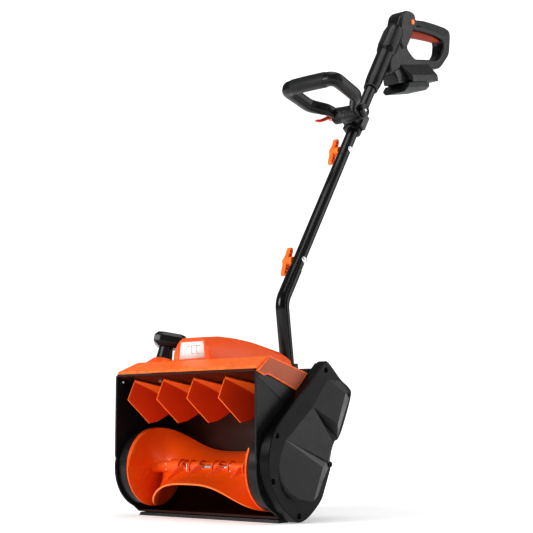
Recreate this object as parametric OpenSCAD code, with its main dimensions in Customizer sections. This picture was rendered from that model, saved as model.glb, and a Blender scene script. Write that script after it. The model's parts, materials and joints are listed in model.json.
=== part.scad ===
// Cordless snow blower of the powered-shovel kind.
// The origin is on the ground, straight below the middle of the rotor axis.
// +X is towards the belt cover, -Y is the way the snow goes, +Z is up.

/* [Housing] */
// Outer width over the two side plates
housing_width = 340; // [330:1:350]
// Thickness of the side plates and of the scoop wall
wall = 4; // [3:0.5:5]
// Height of the rotor axis above the ground
axis_height = 90; // [88:0.5:94]
// Inner radius of the scoop round the rotor
scoop_radius = 80; // [78:0.5:84]
// Height of the roof's inner face at the front edge
roof_front = 256; // [252:1:260]
// Slope of the roof, falling towards the back
roof_slope = 14; // [12:0.5:16]

/* [Rotor] */
// Outer radius of the paddles and of the end discs
rotor_radius = 72.9; // [66:0.1:74]
// Length over the two end discs
rotor_length = 286.8; // [270:0.1:288]
// Thickness of the paddles
paddle_wall = 3.4; // [2.5:0.1:4]
// Radius of the steel shaft
shaft_radius = 6; // [5:0.5:7]
// Angle of the paddle's edge from the top at the middle of the rotor
paddle_middle_angle = -68; // [-75:1:-50]
// How far that angle has turned at the ends
paddle_sweep = 63; // [40:1:66]

/* [Drive] */
// Distance of the motor axis behind the rotor axis
motor_back = 88; // [86:1:94]
// Height of the motor axis
motor_height = 228; // [226:1:232]
// Radius of the motor can
motor_radius = 34; // [28:0.5:34]
// Radius of the big pulley on the rotor shaft
driven_pulley_radius = 57; // [50:1:60]
// Radius of the small pulley on the motor shaft
drive_pulley_radius = 14; // [12:1:16]

/* [Vanes] */
// Distance from one vane pivot to the next
vane_pitch = 74.2; // [70:0.1:78]
// Place of the first vane pivot along X
vane_first_x = -120; // [-124:1:-116]
// Swing of the vanes to the left as they stand
vane_swing = 20.5; // [0:0.5:24]

/* [Tubes] */
// Radius of the bent lower tube
lower_tube_radius = 13.75; // [13:0.25:14]
// Radius of the straight tubes
tube_radius = 12.5; // [12:0.25:13]
// Lean of the straight tubes from the vertical
tube_lean = 32.7; // [30:0.1:35]
// Forward lean of the stub below the bend
stub_lean = 7.6; // [5:0.1:9]

/* [Handles] */
// Half the length of the front handle's grip
grip_half = 62; // [56:1:66]
// Distance from the front handle's hinge to its grip
loop_reach = 148; // [140:1:154]
// Tilt of the front handle above the level
loop_tilt = 13.5; // [8:0.5:20]
// Half the width of the battery pack
battery_half = 36; // [32:1:38]

/* [Hidden] */

$fn = 64;
hull_fn = 24;
fit = 0.05;          // radial clearance of a running fit
gap = 0.4;           // clearance between parts that pass each other

orange = [0.93, 0.27, 0.06];
black = [0.07, 0.07, 0.08];
grey = [0.17, 0.18, 0.19];
steel = [0.75, 0.76, 0.78];

half_width = housing_width / 2;
inner_half = half_width - wall;
front_y = -78;
roof_run = tan(roof_slope);
bend_radius = 95;                       // the wall's bend into the roof
bend_z = 142;
bend_y = scoop_radius - bend_radius;

// Tube frame
bend_point = [0, 208.5, 409];
tube_bend = 45;
tube_turn = tube_lean + stub_lean;
tube_tangent = tube_bend * tan(tube_turn / 2);
stub_length = 165;
lower_joint = 84;
lower_bolt = 106;
upper_joint = 395;
upper_bolt = 417;
clamp_at = 497.5;
tube_end = 700;
spigot = 48;                            // length of a tube's reduced end
spigot_radius = tube_radius - 1.4;
tube_wall = 1.2;

// Front handle
pivot_reach = 32;                       // hinge in front of the tube's axis
pivot = bend_point + [0, clamp_at * sin(tube_lean) - pivot_reach * cos(tube_lean),
                      clamp_at * cos(tube_lean) + pivot_reach * sin(tube_lean)];
eye_inner = 24.4;
eye_outer = 37;

// Main handle, battery frame
battery_origin = [0, 590, 935];
battery_tilt = 14;
grip_width = 17;
barrel_radius = 23;

// Belt cover's outline, as [y, z]
cover_outline = [
    [88, 276], [61, 254], [32, 230], [6, 211], [-25, 185], [-52, 161], [-66, 141], [-73, 116],
    [-73, 91], [-66, 66], [-52, 44], [-30, 23], [-4, 6], [11, 1], [36, 8], [70, 32],
    [84, 53], [104, 95], [100, 106], [114, 135], [126, 141], [143, 166],
    [168, 219], [161, 234], [136, 248], [100, 276]];
cover_base = half_width + 2;
cover_flange = 193;
cover_top = 216;
cover_holes = [[90, 263], [153, 220], [-50, 148], [92, 97], [8, 12], [-62, 72]];

// ---------- helpers ----------

// Extrudes a [y, z] outline from x0 to x1
module slab(x0, x1) translate([x0, 0, 0]) rotate([90, 0, 90]) linear_extrude(x1 - x0) children();

// A rod along X at [y, z]
module rod_x(x0, x1, r, y = 0, z = 0) translate([x0, y, z]) rotate([0, 90, 0]) cylinder(h = x1 - x0, r = r);

module ring_x(x0, x1, r, bore, y = 0, z = 0) {
    difference() {
        rod_x(x0, x1, r, y, z);
        rod_x(x0 - 1, x1 + 1, bore, y, z);
    }
}

function arc(cy, cz, r, a0, a1, n) =
    [for (i = [0:n]) let (a = a0 + (a1 - a0) * i / n) [cy + r * cos(a), cz + r * sin(a)]];

// Closes a stack of rings, each with the same number of points, into one solid
module loft(rings) {
    n = len(rings[0]);
    last = len(rings) - 1;
    points = [for (ring = rings) for (p = ring) p];
    sides = [for (i = [0:last - 1]) for (j = [0:n - 1]) let (k = (j + 1) % n)
        each [[i * n + j, (i + 1) * n + k, i * n + k], [i * n + j, (i + 1) * n + j, (i + 1) * n + k]]];
    ends = [[for (j = [0:n - 1]) j], [for (j = [n - 1:-1:0]) last * n + j]];
    polyhedron(points, concat(sides, ends));
}

module on_tube(t) {
    translate(bend_point) rotate([-tube_lean, 0, 0]) translate([0, 0, t]) children();
}

module on_stub(s) {
    translate(bend_point) rotate([stub_lean, 0, 0]) translate([0, 0, s]) children();
}

elbow_sides = 32;

function elbow_ring(r, off, turn) =
    [for (i = [0:elbow_sides - 1]) let (a = i * 360 / elbow_sides, reach = tube_bend + off + r * cos(a))
        [r * sin(a), -reach * cos(turn), reach * sin(turn)]];

// A rod that follows the stub, the bend and the straight tube up to t1.
// The elbow is a hair thicker than the two rods that run into it.
module tube_rod(r, s0, t1, off = 0) {
    overlap = 2;
    on_stub(s0) translate([0, -off, 0]) cylinder(h = overlap - tube_tangent - s0, r = r);
    on_stub(-tube_tangent) translate([0, tube_bend, 0])
        loft([for (i = [0:8]) elbow_ring(r + 0.15, off, tube_turn * i / 8)]);
    on_tube(tube_tangent - overlap) translate([0, -off, 0])
        cylinder(h = t1 - tube_tangent + overlap, r = r);
}

module at_battery() translate(battery_origin) rotate([battery_tilt, 0, 0]) children();

// Frame of a vane's pivot: Z along the pivot, -Y towards the front
module at_pivot(i) {
    y = front_y + 64.5;
    translate([vane_first_x + i * vane_pitch, y, roof_front - (y - front_y) * roof_run])
        rotate([-roof_slope, 0, 0]) children();
}

// ---------- housing ----------

// The scoop's section: round the rotor, up the back and forward as a roof
function scoop_path(t) = concat(
    arc(0, axis_height, scoop_radius + t, -100, 0, 20),
    arc(bend_y, bend_z, bend_radius + t, 0, 90 - roof_slope, 16),
    [[front_y, roof_front + t * 1.03]]);

function reversed(list) = [for (i = [len(list) - 1:-1:0]) list[i]];

module scoop_section() polygon(concat(scoop_path(wall), reversed(scoop_path(0))));

module pivot_bores(r) {
    for (i = [0:3]) at_pivot(i) translate([0, 0, -20]) cylinder(h = 60, r = r);
}

roof_bolt_places = [[-150, -45], [-84, -45], [152, -45], [0, 30]];

module on_roof(place) {
    translate([place[0], place[1], roof_front - (place[1] - front_y) * roof_run])
        rotate([-roof_slope, 0, 0]) children();
}

module scoop_shell() {
    color(black) difference() {
        slab(-inner_half, inner_half) scoop_section();
        pivot_bores(5 + fit);
        for (place = [roof_bolt_places[0], roof_bolt_places[1], roof_bolt_places[2]])
            on_roof(place) translate([0, 0, -10]) cylinder(h = 30, r = 2.6);
    }
}

function side_outline() = concat(
    [[front_y, roof_front + wall - 3], [front_y, 112]],
    arc(0, axis_height, 78, 168, 248, 12),
    arc(0, axis_height, scoop_radius + wall, -100, 0, 16),
    arc(bend_y, bend_z, bend_radius + wall, 0, 90 - roof_slope, 12),
    [[front_y + 4, roof_front + wall - 0.5]]);

module side_plate(x0, x1) {
    difference() {
        slab(x0, x1) polygon(side_outline());
        rod_x(x0 - 1, x1 + 1, shaft_radius + 4, 0, axis_height);
    }
}

module left_side_plate() color(black) side_plate(-half_width, -inner_half);

module right_side_plate() color(black) side_plate(inner_half, half_width);

scraper_holes = [-140, -70, 0, 70, 140];
scraper_screw_y = 6;

module scraper_bar() {
    color(grey) difference() {
        slab(-inner_half, inner_half)
            polygon([[-16, 0], [12, 0], [26, 9.2], [14, 6.6], [0, 5.5], [-13, 5.5]]);
        for (x = scraper_holes) translate([x, scraper_screw_y, -1]) cylinder(h = 5, r = 4.6);
        for (x = scraper_holes) translate([x, scraper_screw_y, 1]) cylinder(h = 20, r = 2.1);
    }
}

module scraper_screws() {
    color(steel) for (x = scraper_holes) translate([x, scraper_screw_y, 1]) {
        cylinder(h = 2.6, r = 4.4);
        cylinder(h = 4.6, r = 2);
    }
}

// Round inward drums that carry the rotor's bearings
drum_end = 145.5;
bearing_outer = 14;
bearing_width = 9;

module bearing_drum(side) {
    x0 = side > 0 ? drum_end : -inner_half;
    x1 = side > 0 ? inner_half : -drum_end;
    face = side > 0 ? drum_end : -drum_end - 3;
    hollow = side > 0 ? drum_end + 3 : -inner_half - 1;
    difference() {
        rod_x(x0, x1, 72, 0, axis_height);
        difference() {
            rod_x(hollow, hollow + inner_half - drum_end - 2, 69, 0, axis_height);
            rod_x(hollow - 1, hollow + 30, bearing_outer + 4, 0, axis_height);
        }
        rod_x(-200, 200, shaft_radius + 2, 0, axis_height);
        rod_x(side > 0 ? drum_end + 4 : -drum_end - 14, side > 0 ? drum_end + 14 : -drum_end - 4,
              bearing_outer + 0.1, 0, axis_height);
        rod_x(side > 0 ? drum_end + 4 : -200, side > 0 ? 200 : -drum_end - 4,
              bearing_outer + 0.1, 0, axis_height);
    }
}

module left_bearing_drum() color(black) bearing_drum(-1);

module right_bearing_drum() color(black) bearing_drum(1);

module rotor_bearings() {
    color(steel) for (side = [-1, 1]) {
        middle = side * (drum_end + 9);
        ring_x(middle - bearing_width / 2, middle + bearing_width / 2, bearing_outer,
               shaft_radius + fit, 0, axis_height);
    }
}

module roof_bolts() {
    color(steel) for (place = [roof_bolt_places[0], roof_bolt_places[1], roof_bolt_places[2]])
        on_roof(place) {
            translate([0, 0, -2.9]) cylinder(h = 2.5, r = 4.5);
            translate([0, 0, -1]) cylinder(h = 11, r = 2.5);
            translate([0, 0, 4.2]) cylinder(h = 3.5, r = 4.5, $fn = 6);
        }
}

// ---------- orange covers ----------

cover_shoulder = [-43, 283];
cover_rear = [62, 257];
neck_radius = 16;                       // steering knob's neck

// The cover's section, t in from its outer face and with its open underside dropped by d
module top_profile(t, d = 0) {
    polygon([[front_y - 1 + t, roof_front + wall + 0.8 - d],
             [front_y - 1 + t, roof_front + wall + 5 - t * 0.4],
             [cover_shoulder[0] + t * 0.3, cover_shoulder[1] - t],
             [cover_rear[0], cover_rear[1] - t * 1.03], [cover_rear[0] + 0.01, 246 - d], [20, 246 - d]]);
}

// Keeps what lies above the roof's outer face
module above_roof(clear) {
    intersection() {
        children();
        translate([-300, front_y - 10, roof_front + wall + clear]) rotate([-roof_slope, 0, 0])
            translate([0, 0, 2.6]) cube([600, 160, 80]);
    }
}

module skirt_section(grow) {
    offset(delta = grow)
        polygon([[front_y - 1, 257], [-43, 283], [62, 257], [30, 226], [-50, 252], [-60, 249]]);
}

module top_cover() {
    color(orange) difference() {
        union() {
            difference() {
                above_roof(0.4) slab(-half_width, half_width) top_profile(0);
                slab(-half_width + 3, half_width - 3) top_profile(3, 20);
            }
            // raised seat of the steering knob
            at_pivot(0) translate([0, 0, 30]) cylinder(h = 20, r1 = 42, r2 = 21);
            // skirt over the right side plate
            slab(half_width, half_width + 3) skirt_section(0);
        }
        // bevelled left end
        translate([-half_width - 1, 0, 253]) rotate([0, 38, 0]) translate([-60, -100, 0])
            cube([60, 200, 60]);
        at_pivot(0) translate([0, 0, 5]) cylinder(h = 60, r = neck_radius + 0.8);
        slab(-62, 28) polygon([[-34, 262], [-34, 300], [120, 300], [120, 240], [-6, 256]]);
    }
}

// Sections of the tunnel, front to back, as
// [y, bottom z, top z, left foot, left shoulder, right shoulder, right foot]
dome_sections = [
    [-31, 276, 322, -68, -56, 2, 28], [-27, 275, 325, -69, -57, 4, 31], [20, 266, 329, -70, -52, 8, 44],
    [60, 258, 327, -70, -46, 14, 52], [100, 252, 322, -68, -40, 20, 54], [140, 248, 314, -60, -34, 24, 50],
    [180, 246, 306, -46, -28, 26, 44], [204, 246, 298, -32, -24, 24, 32]];

function dome_ring(s, t, dy) = [for (p = [
    [s[3] + t, s[1]], [(s[3] + s[4]) / 2 - 3 + t, (s[1] + s[2]) / 2], [s[4] + t * 0.8, s[2] - 7 - t * 0.5],
    [s[4] + 9, s[2] - t], [s[5] - 9, s[2] - t], [s[5] - t * 0.8, s[2] - 7 - t * 0.5],
    [(s[5] + s[6]) / 2 + 3 - t, (s[1] + s[2]) / 2], [s[6] - t, s[1]]]) [p[0], s[0] + dy, p[1]]];

module dome_cover() {
    last = len(dome_sections) - 1;
    color(orange) difference() {
        loft([for (s = dome_sections) dome_ring(s, 0, 0)]);
        loft(concat([for (i = [0:last]) let (s = dome_sections[i])
            dome_ring([s[0], s[1] - 4, s[2], s[3], s[4], s[5], s[6]], 3, i == 0 ? 3 : i == last ? 4 : 0)]));
        // seat on the top cover and on the rear housing
        slab(-200, 200) top_profile(-0.2, 20);
        slab(-121, inner_half + 1) rear_section(-0.3);
        // window that takes the label
        translate([-54, -40, 284]) cube([66, 11, 36]);
        on_stub(-200) cylinder(h = 160, r = 25);
    }
}

module label_plate() {
    color("white") difference() {
        translate([-53.5, -30.6, 284.5]) cube([65, 1.5, 35]);
        for (side = [-1, 1]) translate([-21 + side * 32.5, -35, 300]) rotate([0, side * 14, 0])
            translate([side > 0 ? 0 : -12, 0, -30]) cube([12, 12, 60]);
    }
}

// ---------- rear housing, motor, electronics ----------

module rear_section(t) {
    polygon([[50, 252 - t], [62, 253 - t], [74, 266 - t], [104, 266 - t], [126 - t * 0.6, 250 - t * 0.5],
             [133 - t, 222], [129 - t, 150 + t], [110 - t, 122 + t], [60, 116 + t], [40, 200]]);
}

module scoop_hull_section(t) {
    polygon(concat(scoop_path(wall + t), [[front_y, 120], [-20, 60]]));
}

module rear_housing() {
    color(black) difference() {
        slab(-120, inner_half) rear_section(0);
        slab(-117, inner_half - 3) rear_section(3);
        slab(-130, inner_half + 1) scoop_hull_section(0.3);
        rod_x(inner_half - 10, half_width, 12, motor_back, motor_height);
        translate([-26.4, 120, 236]) cube([52.8, 30, 12]);
    }
}

module tube_socket() {
    color(black) difference() {
        union() {
            on_stub(-stub_length - 8) cylinder(h = 48, r = 21);
            translate([-26, 100, 236.4]) cube([52, 118, 11.2]);
            for (x = [-24, 18]) slab(x, x + 6)
                polygon([[136, 247], [222, 247], [222, 225], [180, 225], [136, 247]]);
            for (x = [-24, 18]) slab(x, x + 6)
                polygon([[140, 247.4], [150, 276], [205, 272], [210, 247.4]]);
        }
        on_stub(-stub_length) cylinder(h = 200, r = lower_tube_radius + 0.05);
        on_stub(-stub_length - 20) cylinder(h = 40, r = 9);
    }
}

module motor_can() {
    color(steel) difference() {
        union() {
            rod_x(72, 158, motor_radius, motor_back, motor_height);
            rod_x(64, 72, 12, motor_back, motor_height);
        }
        rod_x(75, 160, motor_radius - 2.5, motor_back, motor_height);
    }
}

module motor_plate() {
    color(grey) difference() {
        rod_x(158.2, 162.6, motor_radius - 1, motor_back, motor_height);
        rod_x(150, 170, 4 + fit, motor_back, motor_height);
        for (a = [0:90:270]) rod_x(150, 170, 2.1, motor_back + 20 * cos(a), motor_height + 20 * sin(a));
    }
}

module controller_board() {
    color([0.1, 0.35, 0.2]) {
        translate([-60, 108, 165]) cube([90, 1.6, 50]);
        for (x = [-45, -20, 5]) translate([x, 98, 180]) cube([14, 10, 14]);
    }
}

// ---------- belt drive ----------

belt_x0 = 175;
belt_x1 = 187;

module cover_section(inset) {
    if (inset > 0) offset(delta = -inset) polygon(cover_outline);
    else polygon(cover_outline);
}

module cover_backplate() {
    color(black) difference() {
        slab(half_width + 0.2, cover_base) cover_section(0);
        rod_x(half_width - 1, cover_base + 1, shaft_radius + 3, 0, axis_height);
        rod_x(half_width - 1, cover_base + 1, 8, motor_back, motor_height);
        slab(half_width - 1, half_width + 4) skirt_section(0.8);
        for (h = cover_holes) rod_x(half_width - 1, cover_base + 1, 1.9, h[0], h[1]);
    }
}

// Raised facets of the cover: [base outline, crown outline, crown height], outlines as [y, z]
facets = [
    [[[100, 257], [52, 208], [80, 158], [112, 132], [126, 142], [163, 214], [157, 230], [134, 245]],
     [[124, 226], [98, 169], [104, 165], [132, 219]], cover_top],
    [[[53, 207], [-24, 151], [30, 108], [98, 96], [104, 130], [90, 150]],
     [[90, 138], [76, 104], [82, 100], [95, 134]], cover_top - 3],
    [[[-24, 149], [-38, 139], [-46, 114], [-42, 88], [-28, 64], [-6, 46], [14, 38], [40, 32], [66, 44], [92, 94],
      [60, 112]],
     [[50, 93], [24, 40], [31, 37], [60, 88]], cover_top - 2]];

module facet(f, drop, inset) {
    hull() {
        slab(cover_flange - 1 - inset, cover_flange) offset(delta = -inset) polygon(f[0]);
        slab(cover_flange, f[2] - drop) offset(delta = -inset) polygon(f[1]);
    }
}

module belt_cover() {
    color(grey) difference() {
        union() {
            slab(cover_base + 0.1, cover_flange) cover_section(0);
            for (f = facets) facet(f, 0, 0);
        }
        slab(cover_base - 1, cover_flange - 3) cover_section(3);
        for (f = facets) facet(f, 3, 3.5);
        for (h = cover_holes) rod_x(cover_base - 2, cover_flange + 4, 1.9, h[0], h[1]);
        for (h = cover_holes) rod_x(cover_flange - 9, cover_flange + 25, 5, h[0], h[1]);
        slab(cover_base - 1, half_width + 4) skirt_section(0.8);
    }
}

module belt_cover_screws() {
    color(steel) for (h = cover_holes) {
        rod_x(cover_flange - 9, cover_flange - 5.6, 4.2, h[0], h[1]);
        rod_x(half_width + 1, cover_flange - 8, 1.8, h[0], h[1]);
    }
}

module belt_loop(t) {
    hull() {
        translate([0, axis_height]) circle(r = driven_pulley_radius + 0.3 + t, $fn = 96);
        translate([motor_back, motor_height]) circle(r = drive_pulley_radius + 0.3 + t, $fn = 48);
    }
}

module drive_belt() {
    color(black) slab(belt_x0, belt_x1) difference() {
        belt_loop(3);
        belt_loop(0);
    }
}

// Pulley with two flanges, a hub and a web, along X
module pulley(x0, x1, r, bore, y, z) {
    difference() {
        union() {
            rod_x(x0 + 1.4, x1 - 1.4, r, y, z);
        }
        rod_x(x0 - 1, x1 + 1, bore, y, z);
        if (r > 30) difference() {
            rod_x(x0 + 6, x1 + 1, r - 5, y, z);
            rod_x(x0, x1 + 2, 14, y, z);
        }
    }
}

module driven_pulley() {
    color(grey) pulley(belt_x0 - 1, belt_x1 + 1, driven_pulley_radius, shaft_radius, 0, axis_height);
}

module drive_pulley() {
    color(grey) pulley(belt_x0 - 1, belt_x1 + 1, drive_pulley_radius, 4, motor_back, motor_height);
}

module motor_shaft() {
    color(steel) {
        rod_x(76, 189, 4, motor_back, motor_height);
        rod_x(84, 148, 24, motor_back, motor_height);
    }
}

// ---------- rotor ----------

paddle_flat = 130;                      // beyond this the paddle runs straight to the disc
paddle_reach = rotor_radius - 0.6;
stations = [for (i = [-13:13]) i / 13 * (rotor_length / 2 - 2)];

function edge_angle(x) =
    paddle_middle_angle + paddle_sweep * pow(min(abs(x), paddle_flat) / paddle_flat, 3.15);

// A point of the paddle at [x, radius], off to one side by d; angle 0 is up and 90 is forward
function paddle_point(x, r, d) = let (a = edge_angle(x) + 14 * (1 - r / paddle_reach))
    [x, -r * sin(a) - d * cos(a), axis_height + r * cos(a) - d * sin(a)];

function paddle_ring(x) = concat(
    [for (i = [0:5]) paddle_point(x, 9 + (paddle_reach - 9) * i / 5, -paddle_wall / 2)],
    [for (i = [5:-1:0]) paddle_point(x, 9 + (paddle_reach - 9) * i / 5, paddle_wall / 2)]);

rotor_screw_x = [-104, -52, 52, 104];

// The upper half; the lower one is the same moulding turned half a turn
module rotor_half() {
    difference() {
        union() {
            loft([for (x = stations) paddle_ring(x)]);
            for (side = [-1, 1])
                rod_x(side > 0 ? rotor_length / 2 - 4 : -rotor_length / 2,
                      side > 0 ? rotor_length / 2 : -rotor_length / 2 + 4, rotor_radius, 0, axis_height);
            rod_x(-rotor_length / 2, rotor_length / 2, 12, 0, axis_height);
            for (i = [-3:3]) translate([i * 30 - 1.5, 2, axis_height]) rotate([90, 0, 90])
                linear_extrude(3) polygon([[0, 0], [30, 0.1], [26, 9], [8, 22], [0, 14]]);
        }
        translate([-200, -100, axis_height - 200.1]) cube([400, 200, 200.2]);
        rod_x(-200, 200, shaft_radius + 0.05, 0, axis_height);
        for (x = rotor_screw_x, y = [-9, 9]) translate([x, y, axis_height - 20]) cylinder(h = 60, r = 1.6);
        for (x = [-78, -26, 26, 78]) translate([x - 10, -20, axis_height - 3]) cube([20, 14, 7]);
    }
}

module rotor_half_upper() color(orange) rotor_half();

module rotor_half_lower() {
    color(orange) translate([0, 0, axis_height]) rotate([180, 0, 0]) translate([0, 0, -axis_height])
        rotor_half();
}

module rotor_shaft() color(steel) rod_x(-160, 190, shaft_radius, 0, axis_height);

module rotor_screws() {
    color(steel) for (x = rotor_screw_x, y = [-9, 9]) translate([x, y, axis_height - 7])
        cylinder(h = 14, r = 1.5);
}

// ---------- vanes ----------

crank_length = 22;
crank_level = 8;
link_level = 12;
vane_wall = 3;

module vane() {
    rotate([0, 0, -vane_swing]) {
        // blade
        translate([-vane_wall / 2, 0, 0]) rotate([90, 0, 90]) linear_extrude(vane_wall)
            polygon([[-51, -2], [-57, -41], [-6, -73.5], [24, -60], [52, -34], [62, -20],
                     [60, -16], [26, -2.4]]);
        // turned rim along the top edge
        translate([-vane_wall / 2, -48, -5]) cube([7, 60, 3]);
        translate([0, 0, -30]) cylinder(h = 28.6, r = 7);
        // pin through the roof with its crank arm
        translate([0, 0, -10]) cylinder(h = 10 + crank_level + 4, r = 5);
        translate([-5, 0, crank_level]) cube([10, crank_length, 3.4]);
        translate([0, 0, crank_level]) cylinder(h = 3.4, r = 9);
        translate([0, crank_length, crank_level]) cylinder(h = 3.4, r = 5);
        translate([0, crank_length, crank_level]) cylinder(h = link_level + 4.4 - crank_level, r = 3);
    }
}

// The first vane's pin is long enough to carry the steering knob
module vane_1() {
    color(orange) at_pivot(0) {
        vane();
        translate([0, 0, crank_level]) cylinder(h = 66, r = 5 - fit);
    }
}

module vane_2() color(orange) at_pivot(1) vane();

module vane_3() color(orange) at_pivot(2) vane();

module vane_4() color(orange) at_pivot(3) vane();

module link_place() {
    at_pivot(0) translate([crank_length * sin(vane_swing), crank_length * cos(vane_swing), link_level])
        children();
}

module vane_link() {
    color(grey) link_place() difference() {
        translate([-6, -6, 0]) cube([3 * vane_pitch + 12, 12, 3]);
        for (i = [0:3]) translate([i * vane_pitch, 0, -1]) cylinder(h = 6, r = 3 + fit);
    }
}

module knob_head() {
    linear_extrude(9)
        polygon([[-15, -24], [15, -24], [20, -12], [18, 28], [10, 38], [-10, 38], [-18, 28], [-20, -12]]);
}

module steering_knob() {
    color(black) at_pivot(0) rotate([0, 0, -50]) difference() {
        union() {
            translate([0, 0, 17]) cylinder(h = 67, r = neck_radius);
            hull() {
                translate([0, 0, 78]) linear_extrude(1) circle(r = 15, $fn = 12);
                translate([0, 0, 84]) knob_head();
                translate([0, 4, 102]) linear_extrude(1)
                    polygon([[-10, -20], [10, -20], [13, -8], [11, 18], [5, 26], [-5, 26], [-11, 18], [-13, -8]]);
            }
        }
        translate([0, 0, 10]) cylinder(h = 60, r = 11);
        translate([0, 0, 60]) cylinder(h = 30, r = 5);
    }
}

// ---------- tubes ----------

module lower_tube() {
    color(black) difference() {
        union() {
            tube_rod(lower_tube_radius, -stub_length + 0.2, lower_joint - 0.4);
            on_tube(lower_joint - 2) cylinder(h = spigot, r = spigot_radius);
        }
        tube_rod(spigot_radius - tube_wall, -stub_length - 5, lower_joint + spigot + 5);
        on_tube(lower_bolt) rotate([0, 90, 0]) cylinder(h = 60, r = 3.1, center = true);
    }
}

// Straight tube from t0 to t1, with a reduced end that goes into the next one
module straight_tube(t0, t1, reduced, bolts) {
    difference() {
        union() {
            on_tube(t0) cylinder(h = t1 - t0, r = tube_radius);
            if (reduced) on_tube(t1 - 2) cylinder(h = spigot, r = spigot_radius);
        }
        on_tube(t0 - 1) cylinder(h = t1 - t0 - 6, r = spigot_radius + 0.1);
        on_tube(t0 - 1) cylinder(h = t1 - t0 + 80, r = spigot_radius - tube_wall);
        for (t = bolts) on_tube(t) rotate([0, 90, 0]) cylinder(h = 60, r = 3.1, center = true);
    }
}

module middle_tube() {
    color(black) straight_tube(lower_joint, upper_joint - 0.4, true, [lower_bolt, upper_bolt]);
}

module upper_tube() color(black) straight_tube(upper_joint, tube_end, false, [upper_bolt]);

// Carriage bolt across the tube, its round head on the +X side
module joint_bolt(t) {
    on_tube(t) {
        rotate([0, 90, 0]) translate([0, 0, -30]) cylinder(h = 43, r = 3);
        translate([tube_radius + 0.2, 0, 0]) rotate([0, 90, 0]) cylinder(h = 1.6, r = 7);
        translate([tube_radius + 1.8, 0, 0]) rotate([0, 90, 0]) cylinder(h = 2.4, r1 = 7, r2 = 3.6);
    }
}

module lower_joint_bolt() color(steel) joint_bolt(lower_bolt);

module upper_joint_bolt() color(steel) joint_bolt(upper_bolt);

module power_cable() {
    color([0.2, 0.2, 0.2]) tube_rod(2.6, -stub_length - 10, tube_end - 8, 5.9);
}

// Two-winged hand nut on the bolt's -X end
module wing_knob(t) {
    on_tube(t) difference() {
        union() {
            translate([-39, 0, 0]) rotate([0, 90, 0]) cylinder(h = 25.6, r = 9.5);
            for (turn = [0, 180]) rotate([turn, 0, 0]) hull() {
                translate([-37, 0, 0]) rotate([0, 90, 0]) cylinder(h = 15, r = 7.5, $fn = hull_fn);
                translate([-37, -9, 31.5]) rotate([0, 90, 0]) cylinder(h = 11, r = 5, $fn = hull_fn);
            }
        }
        translate([-30.4, 0, 0]) rotate([0, 90, 0]) cylinder(h = 20, r = 3 + fit);
    }
}

module lower_wing_knob() color(orange) wing_knob(lower_bolt);

module upper_wing_knob() color(orange) wing_knob(upper_bolt);

// ---------- front handle ----------

clamp_half_height = 24;

module clamp_body() {
    translate([0, 0, -clamp_half_height]) cylinder(h = 2 * clamp_half_height, r = 18.6);
    translate([-17, -pivot_reach, -16]) cube([34, pivot_reach, 32]);
    translate([-24, -pivot_reach, 0]) rotate([0, 90, 0]) cylinder(h = 48, r = 17.5);
    for (x = [-25, 14]) translate([x, -8, -18]) cube([11, 16, 36]);
}

clamp_screw_places = [[-20, -11], [-20, 11], [20, -11], [20, 11]];

module clamp_part(front) {
    on_tube(clamp_at) difference() {
        clamp_body();
        translate([-50, front ? -0.2 : -100, -50]) cube([100, front ? 100 : 100.2, 100]);
        translate([0, 0, -50]) cylinder(h = 100, r = tube_radius + 0.05);
        translate([-50, -pivot_reach, 0]) rotate([0, 90, 0]) cylinder(h = 100, r = 4.1);
        for (p = clamp_screw_places) translate([p[0], 20, p[1]])
            rotate([90, 0, 0]) cylinder(h = 40, r = 2.1);
    }
}

module clamp_front() color(black) clamp_part(true);

module clamp_rear() color(black) clamp_part(false);

module clamp_screws() {
    color(steel) on_tube(clamp_at) for (p = clamp_screw_places) translate([p[0], 8.1, p[1]]) {
        rotate([90, 0, 0]) cylinder(h = 14, r = 2);
        rotate([-90, 0, 0]) cylinder(h = 2.6, r = 3.6);
    }
}

lever_x = -46;                          // cam lever's pin

// Frame of the front handle: origin on its hinge, -Y along the loop towards the grip
module at_loop() translate(pivot) rotate([-loop_tilt, 0, 0]) children();

function bar_ring(x, y, turn, a, b) = [for (i = [0:11]) let (t = i * 30)
    [x + a * cos(t) * cos(turn), y + a * cos(t) * sin(turn), b * sin(t)]];

// Half of the loop, from the middle of the grip to the eye; [x, y, turn, half width, half height]
loop_path = [
    [0, -loop_reach - 1, 90, 14.5, 14.5], [grip_half - 16, -loop_reach, 92, 14.3, 14.3],
    [grip_half - 3, -loop_reach + 5, 122, 16, 14.2], [grip_half + 1.5, -loop_reach + 16, 160, 14.6, 14],
    [grip_half + 1, -100, 181, 12.8, 14], [grip_half, -72, 190, 12.5, 14],
    [grip_half - 7, -56, 213, 12.5, 13.8], [grip_half - 20, -42, 222, 10.5, 13.4],
    [33, -30, 212, 9, 13], [30.5, -16, 184, 6.2, 12.5], [30.6, 0, 180, 5.6, 11]];

module loop_half() loft([for (p = loop_path) bar_ring(p[0], p[1], p[2], p[3], p[4])]);

module aux_handle_loop() {
    color(black) at_loop() difference() {
        union() {
            loop_half();
            mirror([1, 0, 0]) loop_half();
            for (x = [-eye_outer, eye_inner]) rod_x(x, x + eye_outer - eye_inner, 18.5);
        }
        rod_x(-60, 60, 4.1);
        rod_x(-eye_inner, eye_inner, 21);
    }
}

// Hinge bolt; a cross pin at its -X end carries the cam lever
module aux_pivot_bolt() {
    color(steel) at_loop() {
        rod_x(-50, 50, 4);
        translate([lever_x, 0, -7]) cylinder(h = 14, r = 2);
    }
}

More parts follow.
